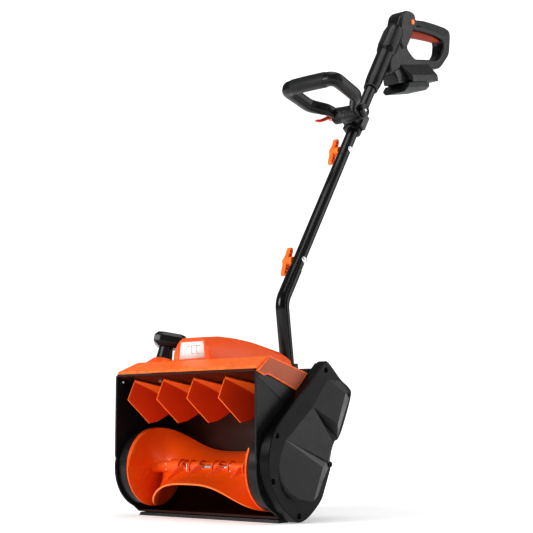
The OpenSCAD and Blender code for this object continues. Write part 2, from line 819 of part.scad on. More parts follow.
module aux_knob() {
    color(black) at_loop() difference() {
        union() {
            rod_x(eye_outer + 0.4, 49, 12);
            rod_x(49, 52, 9.5);
            for (a = [0:60:300]) rod_x(eye_outer + 0.8, 48, 3.2, 11 * cos(a), 11 * sin(a));
        }
        rod_x(30, 50.5, 4 + fit);
    }
}

// Forked cam lever; it swings outwards about the bolt's cross pin
module aux_lever() {
    color(orange) at_loop() difference() {
        union() {
            translate([lever_x, 0, -8]) cylinder(h = 16, r = 8);
            hull() {
                translate([lever_x - 2.5, -6, -6]) cylinder(h = 10, r = 5, $fn = hull_fn);
                translate([lever_x - 4, -27, -24]) cylinder(h = 8, r = 6, $fn = hull_fn);
                translate([lever_x - 5, -42, -30]) cylinder(h = 5, r = 4.5, $fn = hull_fn);
            }
        }
        translate([lever_x, 0, -10]) cylinder(h = 20, r = 2 + fit);
        translate([lever_x, 0, -4.7]) cylinder(h = 9.4, r = 6.4);
        translate([lever_x - 4.7, -4.7, -4.7]) cube([20, 20, 9.4]);
    }
}

// ---------- main handle ----------

// The grip frame from the side, as [y, z]
frame_outline = [
    [575, 955], [640, 996], [716, 1014], [776, 1024], [822, 1034], [846, 1052], [868, 1084],
    [879, 1130], [876, 1140], [866, 1147], [832, 1147], [789, 1143], [756, 1138], [718, 1129], [706, 1139],
    [694, 1143], [676, 1142], [644, 1126], [622, 1104], [590, 1050], [565, 1000]];
frame_opening = [
    [690, 1096], [678, 1074], [664, 1046], [705, 1029], [787, 1047], [812, 1058], [828, 1082],
    [837, 1111], [800, 1115], [744, 1109]];

module frame_section(inset) {
    difference() {
        offset(delta = -inset) polygon(frame_outline);
        offset(delta = inset) polygon(frame_opening);
    }
}

module barrel(grow, r_end) {
    on_tube(607 + grow) {
        cylinder(h = 8, r = 16.6 - grow);
        translate([0, 0, 8]) cylinder(h = 16, r1 = 16.6 - grow, r2 = r_end - 4 - grow);
        translate([0, 0, 24]) cylinder(h = 94, r = r_end - 4 - grow);
        translate([0, 0, 118]) cylinder(h = 10, r1 = r_end - 4 - grow, r2 = r_end - grow);
        translate([0, 0, 128]) cylinder(h = 66 - grow, r = r_end - grow);
        translate([0, 0, 194 - grow]) cylinder(h = 14, r1 = r_end - grow, r2 = r_end - 8 - grow);
    }
}

// Foot over the battery pack: a plate with sloping shoulders and a pointed nose
module foot() {
    at_battery() hull() {
        translate([0, 0, 8]) linear_extrude(12)
            polygon([[-8, 34], [8, 34], [battery_half, 70], [battery_half, 196],
                     [-battery_half, 196], [-battery_half, 70]]);
        translate([0, 0, 44]) linear_extrude(2)
            polygon([[-6, 20], [6, 20], [16, 46], [16, 190], [-16, 190], [-16, 46]]);
    }
}

module battery_slot(grow) {
    at_battery() translate([-18 - grow, 40, 7]) cube([36 + 2 * grow, 170, 10 + grow]);
}

module handle_solid() {
    barrel(0, barrel_radius);
    slab(-grip_width, grip_width) frame_section(0);
    slab(-21, 21)
        polygon([[600, 1040], [622, 1104], [644, 1126], [676, 1142], [694, 1143], [706, 1138],
                 [702, 1108], [676, 1074], [650, 1034], [620, 1000], [590, 1000]]);
    foot();
}

trigger_outline = [
    [703, 1096], [724, 1090], [776, 1095], [836, 1105], [842, 1116], [800, 1121], [742, 1116], [708, 1108]];
button_y = 689;
button_z = 1116;
button_radius = 6.5;

module handle_hollow() {
    barrel(3, barrel_radius);
    on_tube(600) cylinder(h = 80, r = tube_radius + 0.1);
    slab(-grip_width + 3, grip_width - 3) frame_section(3);
    battery_slot(gap);
    // trigger slot and button hole
    slab(-9, 9) offset(delta = 4) polygon(trigger_outline);
    rod_x(-30, 30, button_radius + gap, button_y, button_z);
}

// Screws as [y, z, half length of the boss]
screw_places = [
    [612, 1026, 21], [640, 1096, 20], [672, 1132, 19], [866, 1136, 16], [850, 1072, 16], [742, 1028, 16]];

module handle_shell(side) {
    intersection() {
        difference() {
            union() {
                difference() {
                    handle_solid();
                    handle_hollow();
                }
                for (p = screw_places) rod_x(-p[2], p[2], 4.5, p[0], p[1]);
            }
            for (p = screw_places) rod_x(side > 0 ? -1 : -16, side > 0 ? 12 : 1, 1.6, p[0], p[1]);
            for (p = screw_places) rod_x(side > 0 ? 10 : -40, side > 0 ? 40 : -10, 3.8, p[0], p[1]);
            on_tube(600) cylinder(h = 101, r = tube_radius + 0.1);
        }
        translate([side > 0 ? 0.05 : -100.05, 480, 850]) cube([100, 450, 350]);
    }
}

module handle_shell_left() color(grey) handle_shell(-1);

module handle_shell_right() color(grey) handle_shell(1);

module handle_screws() {
    color(steel) for (p = screw_places) {
        rod_x(10.2, 12.6, 3.4, p[0], p[1]);
        rod_x(-9, 10.4, 1.5, p[0], p[1]);
    }
}

// Soft sleeve over the top and sides of the grip
module grip_overmould() {
    color([0.24, 0.25, 0.26]) difference() {
        slab(-grip_width - 1.6, grip_width + 1.6)
            polygon([[728, 1133], [756, 1139.6], [789, 1144.6], [832, 1148.6], [862, 1148.6],
                     [854, 1124], [800, 1122], [736, 1115]]);
        slab(-grip_width - 0.1, grip_width + 0.1) offset(delta = 0.1) polygon(frame_outline);
        slab(-9.4, 9.4) offset(delta = 4) polygon(trigger_outline);
    }
}

module trigger_switch() {
    color(black) slab(-7, 7) polygon([[748, 1125], [774, 1127.5], [774, 1136.5], [748, 1132.5]]);
}

module terminal_block() {
    color(grey) at_battery() {
        translate([-16, 41, 8.5]) cube([32, 7, 8]);
        for (x = [-9, 0, 9]) translate([x - 0.5, 47, 10]) cube([1, 13, 5]);
    }
}

module trigger() {
    color(orange) slab(-7.5, 7.5) polygon(trigger_outline);
}

module lock_button() {
    color(orange) rod_x(-24.5, 24.5, button_radius, button_y, button_z);
}

module battery_pack() {
    color(black) at_battery() difference() {
        union() {
            hull() {
                translate([1 - battery_half, 46, -12.5]) cube([2 * battery_half - 2, 104, 20.1]);
                translate([-6, -6, -2.5]) cube([12, 4, 10.1]);
            }
            translate([-17.6, 50, 7]) cube([35.2, 98, 9.4]);
        }
        for (x = [-9, 0, 9]) translate([x - 1, 49, 9]) cube([2, 14, 8]);
        translate([-12.4, 130, -5]) cube([24.8, 30, 8]);
    }
}

module battery_latch() {
    color(grey) at_battery() translate([-12, 131, -4.6]) cube([24, 22, 7.2]);
}

scoop_shell();
left_side_plate();
right_side_plate();
scraper_bar();
scraper_screws();
left_bearing_drum();
right_bearing_drum();
rotor_bearings();
roof_bolts();
top_cover();
dome_cover();
label_plate();
rear_housing();
tube_socket();
motor_can();
motor_plate();
controller_board();
cover_backplate();
belt_cover();
belt_cover_screws();
drive_belt();
lower_tube();
middle_tube();
upper_tube();
lower_joint_bolt();
upper_joint_bolt();
power_cable();
clamp_front();
clamp_rear();
clamp_screws();
handle_shell_left();
handle_shell_right();
handle_screws();
grip_overmould();
trigger_switch();
terminal_block();
rotor_half_upper();
rotor_half_lower();
rotor_shaft();
rotor_screws();
driven_pulley();
motor_shaft();
drive_pulley();
vane_1();
vane_2();
vane_3();
vane_4();
vane_link();
steering_knob();
lower_wing_knob();
upper_wing_knob();
aux_handle_loop();
aux_pivot_bolt();
aux_knob();
aux_lever();
trigger();
lock_button();
battery_pack();
battery_latch();
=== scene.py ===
"""A cordless snow blower's looks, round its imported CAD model. Lengths are in millimetres unless said."""
import json
import math

import bmesh
import bpy
from mathutils import Matrix, Vector


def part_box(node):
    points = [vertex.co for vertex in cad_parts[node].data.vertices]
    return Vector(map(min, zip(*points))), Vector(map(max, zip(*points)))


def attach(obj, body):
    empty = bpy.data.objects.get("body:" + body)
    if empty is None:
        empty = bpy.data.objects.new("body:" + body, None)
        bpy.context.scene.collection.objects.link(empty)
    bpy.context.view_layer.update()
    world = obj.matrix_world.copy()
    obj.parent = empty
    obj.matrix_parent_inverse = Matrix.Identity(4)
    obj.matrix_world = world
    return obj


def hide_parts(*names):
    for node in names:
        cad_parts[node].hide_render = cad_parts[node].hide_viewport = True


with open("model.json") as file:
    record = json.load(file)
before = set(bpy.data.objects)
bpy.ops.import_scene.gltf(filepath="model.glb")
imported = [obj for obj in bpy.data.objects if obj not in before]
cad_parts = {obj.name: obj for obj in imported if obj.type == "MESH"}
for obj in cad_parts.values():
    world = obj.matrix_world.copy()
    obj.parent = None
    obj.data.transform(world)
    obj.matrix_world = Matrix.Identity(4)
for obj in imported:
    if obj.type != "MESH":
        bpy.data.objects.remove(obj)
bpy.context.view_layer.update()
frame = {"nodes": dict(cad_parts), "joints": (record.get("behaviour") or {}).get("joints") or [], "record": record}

MM = 0.001
JOINTS = {joint["name"]: joint for joint in frame["joints"]}
ACROSS = Vector((1, 0, 0))
UPWARD = Vector((0, 0, 1))


def joint_place(name):
    """The joint's point in millimetres."""
    return Vector(JOINTS[name]["pos_m"]) / MM


def node_box(name):
    """Lowest and highest corner of a CAD node in millimetres."""
    low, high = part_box(name)
    return low / MM, high / MM


def axes_matrix(x_axis, y_axis, z_axis):
    """From a frame with these axes to the shared frame."""
    return Matrix((x_axis, y_axis, z_axis)).transposed().to_4x4()


# -------- camera

# Yaw, pitch and roll in degrees
CAMERA_TURN = (38.99, 7.95, -0.17)
CAMERA_PLACE_M = (1.4132, -1.5853, 0.1608)
CAMERA_LENS = 78.1
SENSOR_WIDTH = 36


def look_axes(yaw, pitch, roll):
    """Right, up and viewing directions; yaw turns left from +Y, pitch is upward."""
    look = Vector((-math.sin(yaw) * math.cos(pitch), math.cos(yaw) * math.cos(pitch), math.sin(pitch)))
    right = Vector((math.cos(yaw), math.sin(yaw), 0))
    up = right.cross(look)
    tilted_right = right * math.cos(roll) + up * math.sin(roll)
    return tilted_right, up * math.cos(roll) - right * math.sin(roll), look


def make_camera():
    right, up, look = look_axes(*(math.radians(angle) for angle in CAMERA_TURN))
    data = bpy.data.cameras.new("camera")
    data.sensor_width = SENSOR_WIDTH
    data.lens = CAMERA_LENS
    data.clip_start = 0.05
    data.clip_end = 60
    camera = bpy.data.objects.new("camera", data)
    bpy.context.scene.collection.objects.link(camera)
    stand = axes_matrix(right, up, -look)
    stand.translation = Vector(CAMERA_PLACE_M)
    camera.matrix_world = stand
    bpy.context.scene.camera = camera


make_camera()


# -------- materials

MATERIALS = {}


def new_material(name):
    material = bpy.data.materials.new(name)
    MATERIALS[name] = material
    material.use_nodes = True
    nodes = material.node_tree.nodes
    shader = next(n for n in nodes if n.type == "BSDF_PRINCIPLED")
    return material, nodes, material.node_tree.links, shader


def noise_node(nodes, links, scale, detail=2.0, rough=0.5):
    coords = nodes.new("ShaderNodeTexCoord")
    noise = nodes.new("ShaderNodeTexNoise")
    noise.inputs["Scale"].default_value = scale
    noise.inputs["Detail"].default_value = detail
    noise.inputs["Roughness"].default_value = rough
    links.new(coords.outputs["Object"], noise.inputs["Vector"])
    return noise


def ranged(nodes, links, source, low, high, start=0.3, end=0.7):
    """Maps a 0-1 value between start and end to low and high."""
    span = nodes.new("ShaderNodeMapRange")
    span.inputs["From Min"].default_value = start
    span.inputs["From Max"].default_value = end
    span.inputs["To Min"].default_value = low
    span.inputs["To Max"].default_value = high
    links.new(source, span.inputs["Value"])
    return span.outputs["Result"]


def mixed(nodes, links, factor, first, second):
    """Mixes two colours; the first may be another node's output."""
    mix = nodes.new("ShaderNodeMix")
    mix.data_type = "RGBA"
    links.new(factor, mix.inputs["Factor"])
    if isinstance(first, tuple):
        mix.inputs[6].default_value = (*first, 1)
    else:
        links.new(first, mix.inputs[6])
    mix.inputs[7].default_value = (*second, 1)
    return mix.outputs[2]


def add_bump(nodes, links, shader, height, strength, distance_m):
    bump = nodes.new("ShaderNodeBump")
    bump.inputs["Strength"].default_value = strength
    bump.inputs["Distance"].default_value = distance_m
    links.new(height, bump.inputs["Height"])
    links.new(bump.outputs["Normal"], shader.inputs["Normal"])


def shaded(colour, gain):
    return tuple(min(1.0, c * gain) for c in colour)


def plastic(name, colour, rough, grain=0.0, grain_scale=1400, coat=0.0, uneven=0.10, rub_and_sheen=0.0,
            rub_and_sheen_colour=None, shine=0.5):
    """Moulded plastic or paint: slow colour and gloss drift, moulded grain, and paler edges that stand both for
    rubbed wear and for painted edge highlights.
    """
    material, nodes, links, shader = new_material(name)
    drift = noise_node(nodes, links, 14, 4)
    colour_out = mixed(nodes, links, ranged(nodes, links, drift.outputs["Fac"], 0, 1),
                       shaded(colour, 1 - uneven), shaded(colour, 1 + uneven))
    # Paler edges where the surface is pointy: partly rubbed wear, partly painted highlight along the edges.
    if rub_and_sheen:
        geometry = nodes.new("ShaderNodeNewGeometry")
        patches = noise_node(nodes, links, 160, 5, 0.7)
        edge = ranged(nodes, links, geometry.outputs["Pointiness"], 0, rub_and_sheen, 0.52, 0.60)
        spots = nodes.new("ShaderNodeMath")
        spots.operation = "MULTIPLY"
        links.new(edge, spots.inputs[0])
        links.new(ranged(nodes, links, patches.outputs["Fac"], 0.2, 1, 0.4, 0.6), spots.inputs[1])
        colour_out = mixed(nodes, links, spots.outputs[0], colour_out, rub_and_sheen_colour)
    links.new(colour_out, shader.inputs["Base Color"])
    smears = noise_node(nodes, links, 45, 6, 0.65)
    links.new(ranged(nodes, links, smears.outputs["Fac"], rough * 0.82, min(1, rough * 1.22)),
              shader.inputs["Roughness"])
    shader.inputs["Specular IOR Level"].default_value = shine
    if coat:
        shader.inputs["Coat Weight"].default_value = coat
        shader.inputs["Coat Roughness"].default_value = 0.08
    if grain:
        texture = noise_node(nodes, links, grain_scale, 3, 0.6)
        add_bump(nodes, links, shader, texture.outputs["Fac"], grain, 0.0004)
    return material


def metal(name, colour, rough):
    """Brushed or plated metal with fine lines."""
    material, nodes, links, shader = new_material(name)
    shader.inputs["Metallic"].default_value = 1.0
    coords = nodes.new("ShaderNodeTexCoord")
    mapping = nodes.new("ShaderNodeMapping")
    mapping.inputs["Scale"].default_value = (1, 1, 30)
    lines = nodes.new("ShaderNodeTexNoise")
    lines.inputs["Scale"].default_value = 220
    lines.inputs["Detail"].default_value = 4
    links.new(coords.outputs["Object"], mapping.inputs["Vector"])
    links.new(mapping.outputs["Vector"], lines.inputs["Vector"])
    links.new(mixed(nodes, links, ranged(nodes, links, lines.outputs["Fac"], 0, 1),
                    shaded(colour, 0.82), shaded(colour, 1.1)), shader.inputs["Base Color"])
    links.new(ranged(nodes, links, lines.outputs["Fac"], rough * 0.8, rough * 1.3),
              shader.inputs["Roughness"])
    add_bump(nodes, links, shader, lines.outputs["Fac"], 0.15, 0.0002)
    return material


# The looks of the slots, then looks that single pieces take within their slot
plastic("housing_black", (0.0075, 0.0075, 0.008), 0.30, 0.05, 900, rub_and_sheen=0.35,
        rub_and_sheen_colour=(0.06, 0.06, 0.065), shine=0.32)
plastic("cover_black", (0.015, 0.0155, 0.016), 0.42, 0.16, 1500, rub_and_sheen=0.5,
        rub_and_sheen_colour=(0.09, 0.09, 0.095), shine=0.4)
plastic("orange_plastic", (0.86, 0.096, 0.003), 0.36, 0.05, 800, uneven=0.06, rub_and_sheen=0.6,
        rub_and_sheen_colour=(1.0, 0.26, 0.04), shine=0.42)
# The handle's paler edges are painted highlights.
plastic("handle_grey", (0.0042, 0.0044, 0.0047), 0.28, 0.12, 1500, rub_and_sheen=0.8,
        rub_and_sheen_colour=(0.09, 0.09, 0.095), shine=0.26)
plastic("grip_rubber", (0.008, 0.0085, 0.009), 0.5, 0.3, 1300, shine=0.28)
plastic("tube_black", (0.003, 0.003, 0.0035), 0.21, uneven=0.2, shine=0.34)
metal("steel", (0.70, 0.70, 0.72), 0.24)
metal("motor_steel", (0.42, 0.42, 0.44), 0.34)
plastic("pulley_grey", (0.09, 0.09, 0.10), 0.5, 0.3)
plastic("belt_rubber", (0.02, 0.02, 0.02), 0.7, 0.5, 700)
plastic("label_white", (0.86, 0.86, 0.85), 0.35, 0.03, uneven=0.02)
plastic("board_green", (0.03, 0.16, 0.07), 0.35, 0.1)
plastic("cable_black", (0.02, 0.02, 0.02), 0.6, 0.3)
plastic("battery_black", (0.0075, 0.0085, 0.0095), 0.42, 0.2, 1500, rub_and_sheen=0.45,
        rub_and_sheen_colour=(0.06, 0.065, 0.07), shine=0.3)
# A paler orange for the rims and bevels of the rotor and vane sheets: painted highlight along their edges. The
# lock button is made in it whole.
PALE_HIGHLIGHT_ORANGE = plastic("pale_highlight_orange", (1.0, 0.20, 0.02), 0.34, 0.05, coat=0.2, uneven=0.05)
# A darker, redder copy of the orange for the vanes: painted shade, as they hang under the roof.
SHADED_VANE_ORANGE = plastic("shaded_vane_orange", (0.70, 0.045, 0.004), 0.4, 0.05, 800, uneven=0.08, shine=0.22)
# A brighter orange for the vanes' top band: painted light, as the band faces downward.
LIT_BAND_ORANGE = plastic("lit_band_orange", (1.0, 0.14, 0.010), 0.4, 0.05, 800, uneven=0.06, shine=0.25)
# A brighter, yellower copy of the orange for the wing knobs, with paler edges: painted highlight.
LIT_KNOB_ORANGE = plastic("lit_knob_orange", (1.0, 0.17, 0.012), 0.4, 0.06, 900, uneven=0.05, rub_and_sheen=0.5,
                      rub_and_sheen_colour=(1.0, 0.4, 0.12), shine=0.3)
TRIGGER_RED = plastic("trigger_red", (0.27, 0.035, 0.014), 0.5, 0.15, shine=0.2)
# Darker, dull orange-red for the skirt panel: painted shade of its recess.
SHADE_PANEL_RED = plastic("shade_panel_red", (0.40, 0.105, 0.055), 0.6, 0.2, 1200, uneven=0.12, shine=0.3)
LEVER_RED = plastic("lever_red", (0.50, 0.03, 0.004), 0.4, 0.1, shine=0.3)
PRINT_RED = plastic("print_red", (0.28, 0.03, 0.02), 0.5)
# Black tinted brown-red for the scoop's inside: painted reflection of the orange rotor and vanes.
INSIDE_BOUNCE_RED = plastic("inside_bounce_red", (0.036, 0.009, 0.005), 0.34, 0.05, 900, shine=0.25)
FLANGE_BLACK = plastic("flange_black", (0.0035, 0.0035, 0.0038), 0.30, 0.05, 900, rub_and_sheen=0.3,
                       rub_and_sheen_colour=(0.05, 0.05, 0.052), shine=0.18)
# A paler grey for the wedge facet: painted light on its upward face.
LIT_WEDGE_GREY = plastic("lit_wedge_grey", (0.085, 0.085, 0.083), 0.5, 0.14, 1500, uneven=0.15)
FACET_GREY = plastic("facet_grey", (0.024, 0.0245, 0.0245), 0.5, 0.14, 1500, rub_and_sheen=0.6,
                     rub_and_sheen_colour=(0.12, 0.12, 0.12), shine=0.4)


# -------- mesh helpers

def smooth_faces(mesh):
    mesh.polygons.foreach_set("use_smooth", [True] * len(mesh.polygons))
    mesh.update()


def mesh_object(name, bm, smooth=True):
    """An object from a bmesh in millimetres; the bmesh is freed."""
    bmesh.ops.recalc_face_normals(bm, faces=bm.faces)
    bmesh.ops.scale(bm, vec=(MM, MM, MM), verts=bm.verts)
    mesh = bpy.data.meshes.new(name)
    bm.to_mesh(mesh)
    bm.free()
    if smooth:
        smooth_faces(mesh)
    piece = bpy.data.objects.new(name, mesh)
    bpy.context.scene.collection.objects.link(piece)
    return piece


def add_bevel(piece, width, segments=2, angle=30, weighted=True):
    bevel = piece.modifiers.new("bevel", "BEVEL")
    bevel.width = width * MM
    bevel.segments = segments
    bevel.limit_method = "ANGLE"
    bevel.angle_limit = math.radians(angle)
    bevel.miter_outer = "MITER_ARC"
    bevel.use_clamp_overlap = True
    if weighted:
        normals = piece.modifiers.new("normals", "WEIGHTED_NORMAL")
        normals.keep_sharp = True


def dress(piece, slot, material=None):
    piece.data.materials.clear()
    piece.data.materials.append(material or MATERIALS[slot])


def place(piece, body, slot, *nodes, material=None):
    """The piece's body, material slot and the CAD nodes it stands for."""
    dress(piece, slot, material)
    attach(piece, body)
    if nodes:
        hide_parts(*nodes)
    return piece


def build_piece(name, bm, bevel, body, slot, *nodes, material=None, move=None):
    """Makes and places a piece from a bmesh, moved by a matrix and bevelled by [width, segments, angle]."""
    if move is not None:
        bmesh.ops.transform(bm, matrix=move, verts=bm.verts)
    piece = mesh_object(name, bm)
    if bevel:
        add_bevel(piece, *bevel)
    return place(piece, body, slot, *nodes, material=material)


def build_sheet(name, bm, wall, bevel, body, node, material=None):
    """Thickens a mesh of one layer to both sides; its rim and its bevels get a paler orange, a painted highlight
    along the edge.
    """
    sheet = mesh_object(name, bm)
    solid = sheet.modifiers.new("thickness", "SOLIDIFY")
    solid.material_offset_rim = 1
    solid.thickness = wall * MM
    solid.offset = 0.0
    solid.use_even_offset = True
    solid.use_quality_normals = True
    add_bevel(sheet, bevel, 3, 50, weighted=False)
    sheet.modifiers["bevel"].material = 1
    place(sheet, body, "orange_plastic", node, material=material)
    sheet.data.materials.append(PALE_HIGHLIGHT_ORANGE)
    return sheet


def add_loft(bm, rings, closed=False):
    """Skins rings that have the same number of points; closed joins the last ring to the first."""
    rows = [[bm.verts.new(p) for p in ring] for ring in rings]
    count = len(rings[0])
    pairs = list(zip(rows, rows[1:] + rows[:1])) if closed else list(zip(rows, rows[1:]))
    for first, second in pairs:
        for j in range(count):
            k = (j + 1) % count
            bm.faces.new((first[j], first[k], second[k], second[j]))
    if not closed:
        bm.faces.new(list(reversed(rows[0])))
        bm.faces.new(rows[-1])
    return rows


def add_hull(bm, points):
    verts = [bm.verts.new(p) for p in points]
    made = bmesh.ops.convex_hull(bm, input=verts)
    loose = [v for v in made["geom_interior"] + made["geom_unused"] if isinstance(v, bmesh.types.BMVert)]
    bmesh.ops.delete(bm, geom=list(set(loose)), context="VERTS")


def merge_flats(bm):
    """Joins the triangles of each flat face."""
    bmesh.ops.dissolve_limit(bm, angle_limit=math.radians(1), verts=bm.verts, edges=bm.edges)


def lathe_rings(profile, origin, axis, side, steps=48):
    """Rings of a profile of [along, radius] turned about an axis."""
    other = axis.cross(side)
    turns = [2 * math.pi * i / steps for i in range(steps)]
    return [[origin + axis * along + (side * math.cos(t) + other * math.sin(t)) * radius for t in turns]
            for along, radius in profile]


def add_lathe(bm, profile, axis=Vector((1, 0, 0)), side=Vector((0, 1, 0)), steps=48, origin=Vector()):
    add_loft(bm, lathe_rings(profile, origin, axis, side, steps))


def catmull(points, steps, closed=False):
    """A smooth curve through tuples of numbers, with the same number of steps in each span."""
    count = len(points)
    spans = count if closed else count - 1
    out = []

    def at(i):
        return points[i % count] if closed else points[max(0, min(count - 1, i))]

    for i in range(spans):
        a, b, c, d = at(i - 1), at(i), at(i + 1), at(i + 2)
        for s in range(steps):
            t = s / steps
            out.append(tuple(
                0.5 * (2 * q + (r - p) * t + (2 * p - 5 * q + 4 * r - u) * t * t
                       + (3 * q - p - 3 * r + u) * t ** 3)
                for p, q, r, u in zip(a, b, c, d)))
    if not closed:
        out.append(tuple(points[-1]))
    return out


SLOT_OF = {row["node"]: row["material_slot"] for row in frame["record"]["subparts"]}
SAME_POINT_M = 0.00002


def polish(node, width, angle=28, segments=2):
    """Gives a CAD node clean flat faces with rounded edges, and the material of its slot."""
    piece = frame["nodes"][node]
    smooth_faces(piece.data)
    if "custom_normal" in piece.data.attributes:
        piece.data.attributes.remove(piece.data.attributes["custom_normal"])
    weld = piece.modifiers.new("weld", "WELD")
    weld.merge_threshold = SAME_POINT_M
    flat = piece.modifiers.new("flat", "DECIMATE")
    flat.decimate_type = "DISSOLVE"
    flat.angle_limit = math.radians(1.0)
    add_bevel(piece, width, segments, angle)
    piece.data.materials.clear()
    piece.data.materials.append(MATERIALS[SLOT_OF[node]])


# -------- rotor

AXIS = joint_place("rotor_spin")
ROTOR_HIGH = node_box("rotor_half_upper")[1]
ROTOR_R = ROTOR_HIGH.z - AXIS.z
ROTOR_HALF = ROTOR_HIGH.x
DISC_WALL = 3.2
PADDLE_WALL = 3.2
PADDLE_STEPS = 36
PADDLE_FOOT_R = 9.5
HUB_R = 11.0
BORE_R = 6.4
NOTCH_FLOOR_R = 22


def edge_angle(x):
    """Angle of the paddle's edge in degrees, 0 up and 90 forward."""
    return -68 + 63 * (min(abs(x), 130) / 130) ** 3.15


def wheel_point(x, radius, degrees):
    a = math.radians(degrees)
    return Vector((x, AXIS.y - radius * math.sin(a), AXIS.z + radius * math.cos(a)))


def paddle_grid():
    """The paddle as rows along X: each row runs from the hub to the edge and the ends wrap onto the discs."""
    face_x = ROTOR_HALF - DISC_WALL + 0.6
    rows = []
    for i in range(-PADDLE_STEPS, PADDLE_STEPS + 1):
        near_end = 1 - (1 - abs(i) / PADDLE_STEPS) ** 2.6
        x = math.copysign(face_x * near_end, i)
        row = []
        for j in range(13):
            share = j / 12
            radius = PADDLE_FOOT_R + (ROTOR_R - 1.2 - PADDLE_FOOT_R) * share
            sharpness = 11 + 30 * share ** 1.4
            wrap = 94 * (abs(x) / face_x) ** sharpness
            lean = 12 * (1 - share)
            row.append(wheel_point(x, radius, min(89.4, edge_angle(x) + lean + wrap)))
        rows.append(row)
    return rows


def add_grid(bm, rows):
    verts = [[bm.verts.new(p) for p in row] for row in rows]
    for first, second in zip(verts, verts[1:]):
        for a, b, c, d in zip(first, second, second[1:], first[1:]):
            bm.faces.new((a, b, c, d))


def sector_ring(x, inner, outer, a0, a1, steps):
    angles = [a0 + (a1 - a0) * i / steps for i in range(steps + 1)]
    return ([wheel_point(x, outer, a) for a in angles] + [wheel_point(x, inner, a) for a in reversed(angles)])


def add_sector(bm, x0, x1, inner, outer, a0=-90.0, a1=89.6, steps=40):
    add_loft(bm, [sector_ring(x, inner, outer, a0, a1, steps) for x in (x0, x1)])


HUB_WINDOWS = [(-62, -45), (-21, 12), (26, 50), (84, 110)]
FIN_X = [-58, -14, 34, 82]


def rotor_hub(bm):
    """Half hub with windows to the shaft, rings beside them, and slanting fins on the paddle's back."""
    edges = [-ROTOR_HALF + 2] + [x for pair in HUB_WINDOWS for x in pair] + [ROTOR_HALF - 2]
    for x0, x1 in zip(edges[::2], edges[1::2]):
        add_sector(bm, x0, x1, 6.3, HUB_R, steps=20)
    for x0, x1 in HUB_WINDOWS:
        add_sector(bm, x0 - 0.5, x1 + 0.5, 6.6, HUB_R - 1, -90, 40, 16)
        for x in (x0, x1):
            add_sector(bm, x - 1.5, x + 1.5, 6.3, HUB_R + 2.5, steps=20)
    add_sector(bm, -96, -70, HUB_R - 1, HUB_R + 3.5, steps=20)
    for x in FIN_X:
        a = edge_angle(x) + 11
        add_hull(bm, [wheel_point(x + dx - (r - 9) * 0.85, r, a + da) for dx in (-1.0, 1.0)
                      for r, da in ((9, 0), (9, -62), (14, -60), (19, -34), (36, -5), (36, 0))])


def turned(bm, half_turns):
    if half_turns:
        bmesh.ops.rotate(bm, cent=AXIS, matrix=Matrix.Rotation(math.pi * half_turns, 3, "X"), verts=bm.verts)


# Open part of the +X end in degrees
NOTCH = (3, 62)


def open_end(bm):
    """Leaves the +X end open between the paddle's edge and the disc's solid part."""
    gone = []
    for face in bm.faces:
        centre = face.calc_center_median()
        angle = math.degrees(math.atan2(AXIS.y - centre.y, centre.z - AXIS.z))
        radius = math.hypot(AXIS.y - centre.y, centre.z - AXIS.z)
        if centre.x > ROTOR_HALF - 10 and NOTCH[0] < angle < NOTCH[1] and radius > NOTCH_FLOOR_R:
            gone.append(face)
    bmesh.ops.delete(bm, geom=gone, context="FACES")


def rotor_half(name, half_turns):
    bm = bmesh.new()
    add_grid(bm, paddle_grid())
    open_end(bm)
    turned(bm, half_turns)
    build_sheet(name + "_paddle", bm, PADDLE_WALL, 1.1, "rotor", name)
    bm = bmesh.new()
    for side in (-1, 1):
        x0, x1 = sorted((side * (ROTOR_HALF - DISC_WALL), side * ROTOR_HALF))
        if side < 0:
            add_sector(bm, x0, x1, BORE_R, ROTOR_R - 0.05, steps=60)
            continue
        add_sector(bm, x0, x1, BORE_R, ROTOR_R - 0.05, -90, NOTCH[0], steps=40)
        add_sector(bm, x0, x1, BORE_R, NOTCH_FLOOR_R, *NOTCH, steps=24)
        add_sector(bm, x0, x1, BORE_R, ROTOR_R - 0.05, NOTCH[1], 89.6, steps=16)
    rotor_hub(bm)
    turned(bm, half_turns)
    build_piece(name + "_hub", bm, (0.7, 2, 40), "rotor", "orange_plastic", name)


def build_rotor():
    rotor_half("rotor_half_upper", 0)
    rotor_half("rotor_half_lower", 1)
    for node in ("rotor_shaft", "rotor_screws", "driven_pulley", "motor_shaft", "drive_pulley"):
        polish(node, 0.4)


# -------- vanes

ROOF_TILT = math.atan2(JOINTS["vane_1_swing"]["axis"][1], JOINTS["vane_1_swing"]["axis"][2])
SWING = math.radians(-20.5)
VANE_WALL = 3.2


def vane_frame(index):
    """From a vane's own frame, Z up its pin and -Y forward, to the row frame."""
    pin = Matrix.Translation(joint_place(f"vane_{index}_swing"))
    return pin @ Matrix.Rotation(-ROOF_TILT, 4, "X") @ Matrix.Rotation(SWING, 4, "Z")


# The blade's top and bottom edge as [forward, up], front to rear
VANE_TOP = [(51, -2), (36, -2.1), (14, -2.2), (-8, -2.3), (-26, -4), (-42, -10), (-54, -16)]
VANE_LOW = [(57, -41), (40, -52), (6, -73.5), (-10, -66), (-27, -51), (-43, -34), (-55, -18)]
BAND_SHARES = (0, 0.2, 0.45, 0.7, 0.88)
BLADE_STEPS = 8


def between(points, steps):
    """Straight steps from point to point."""
    out = []
    for (a, b), (c, d) in zip(points, points[1:]):
        out += [(a + (c - a) * i / steps, b + (d - b) * i / steps) for i in range(steps)]
    return out + [points[-1]]


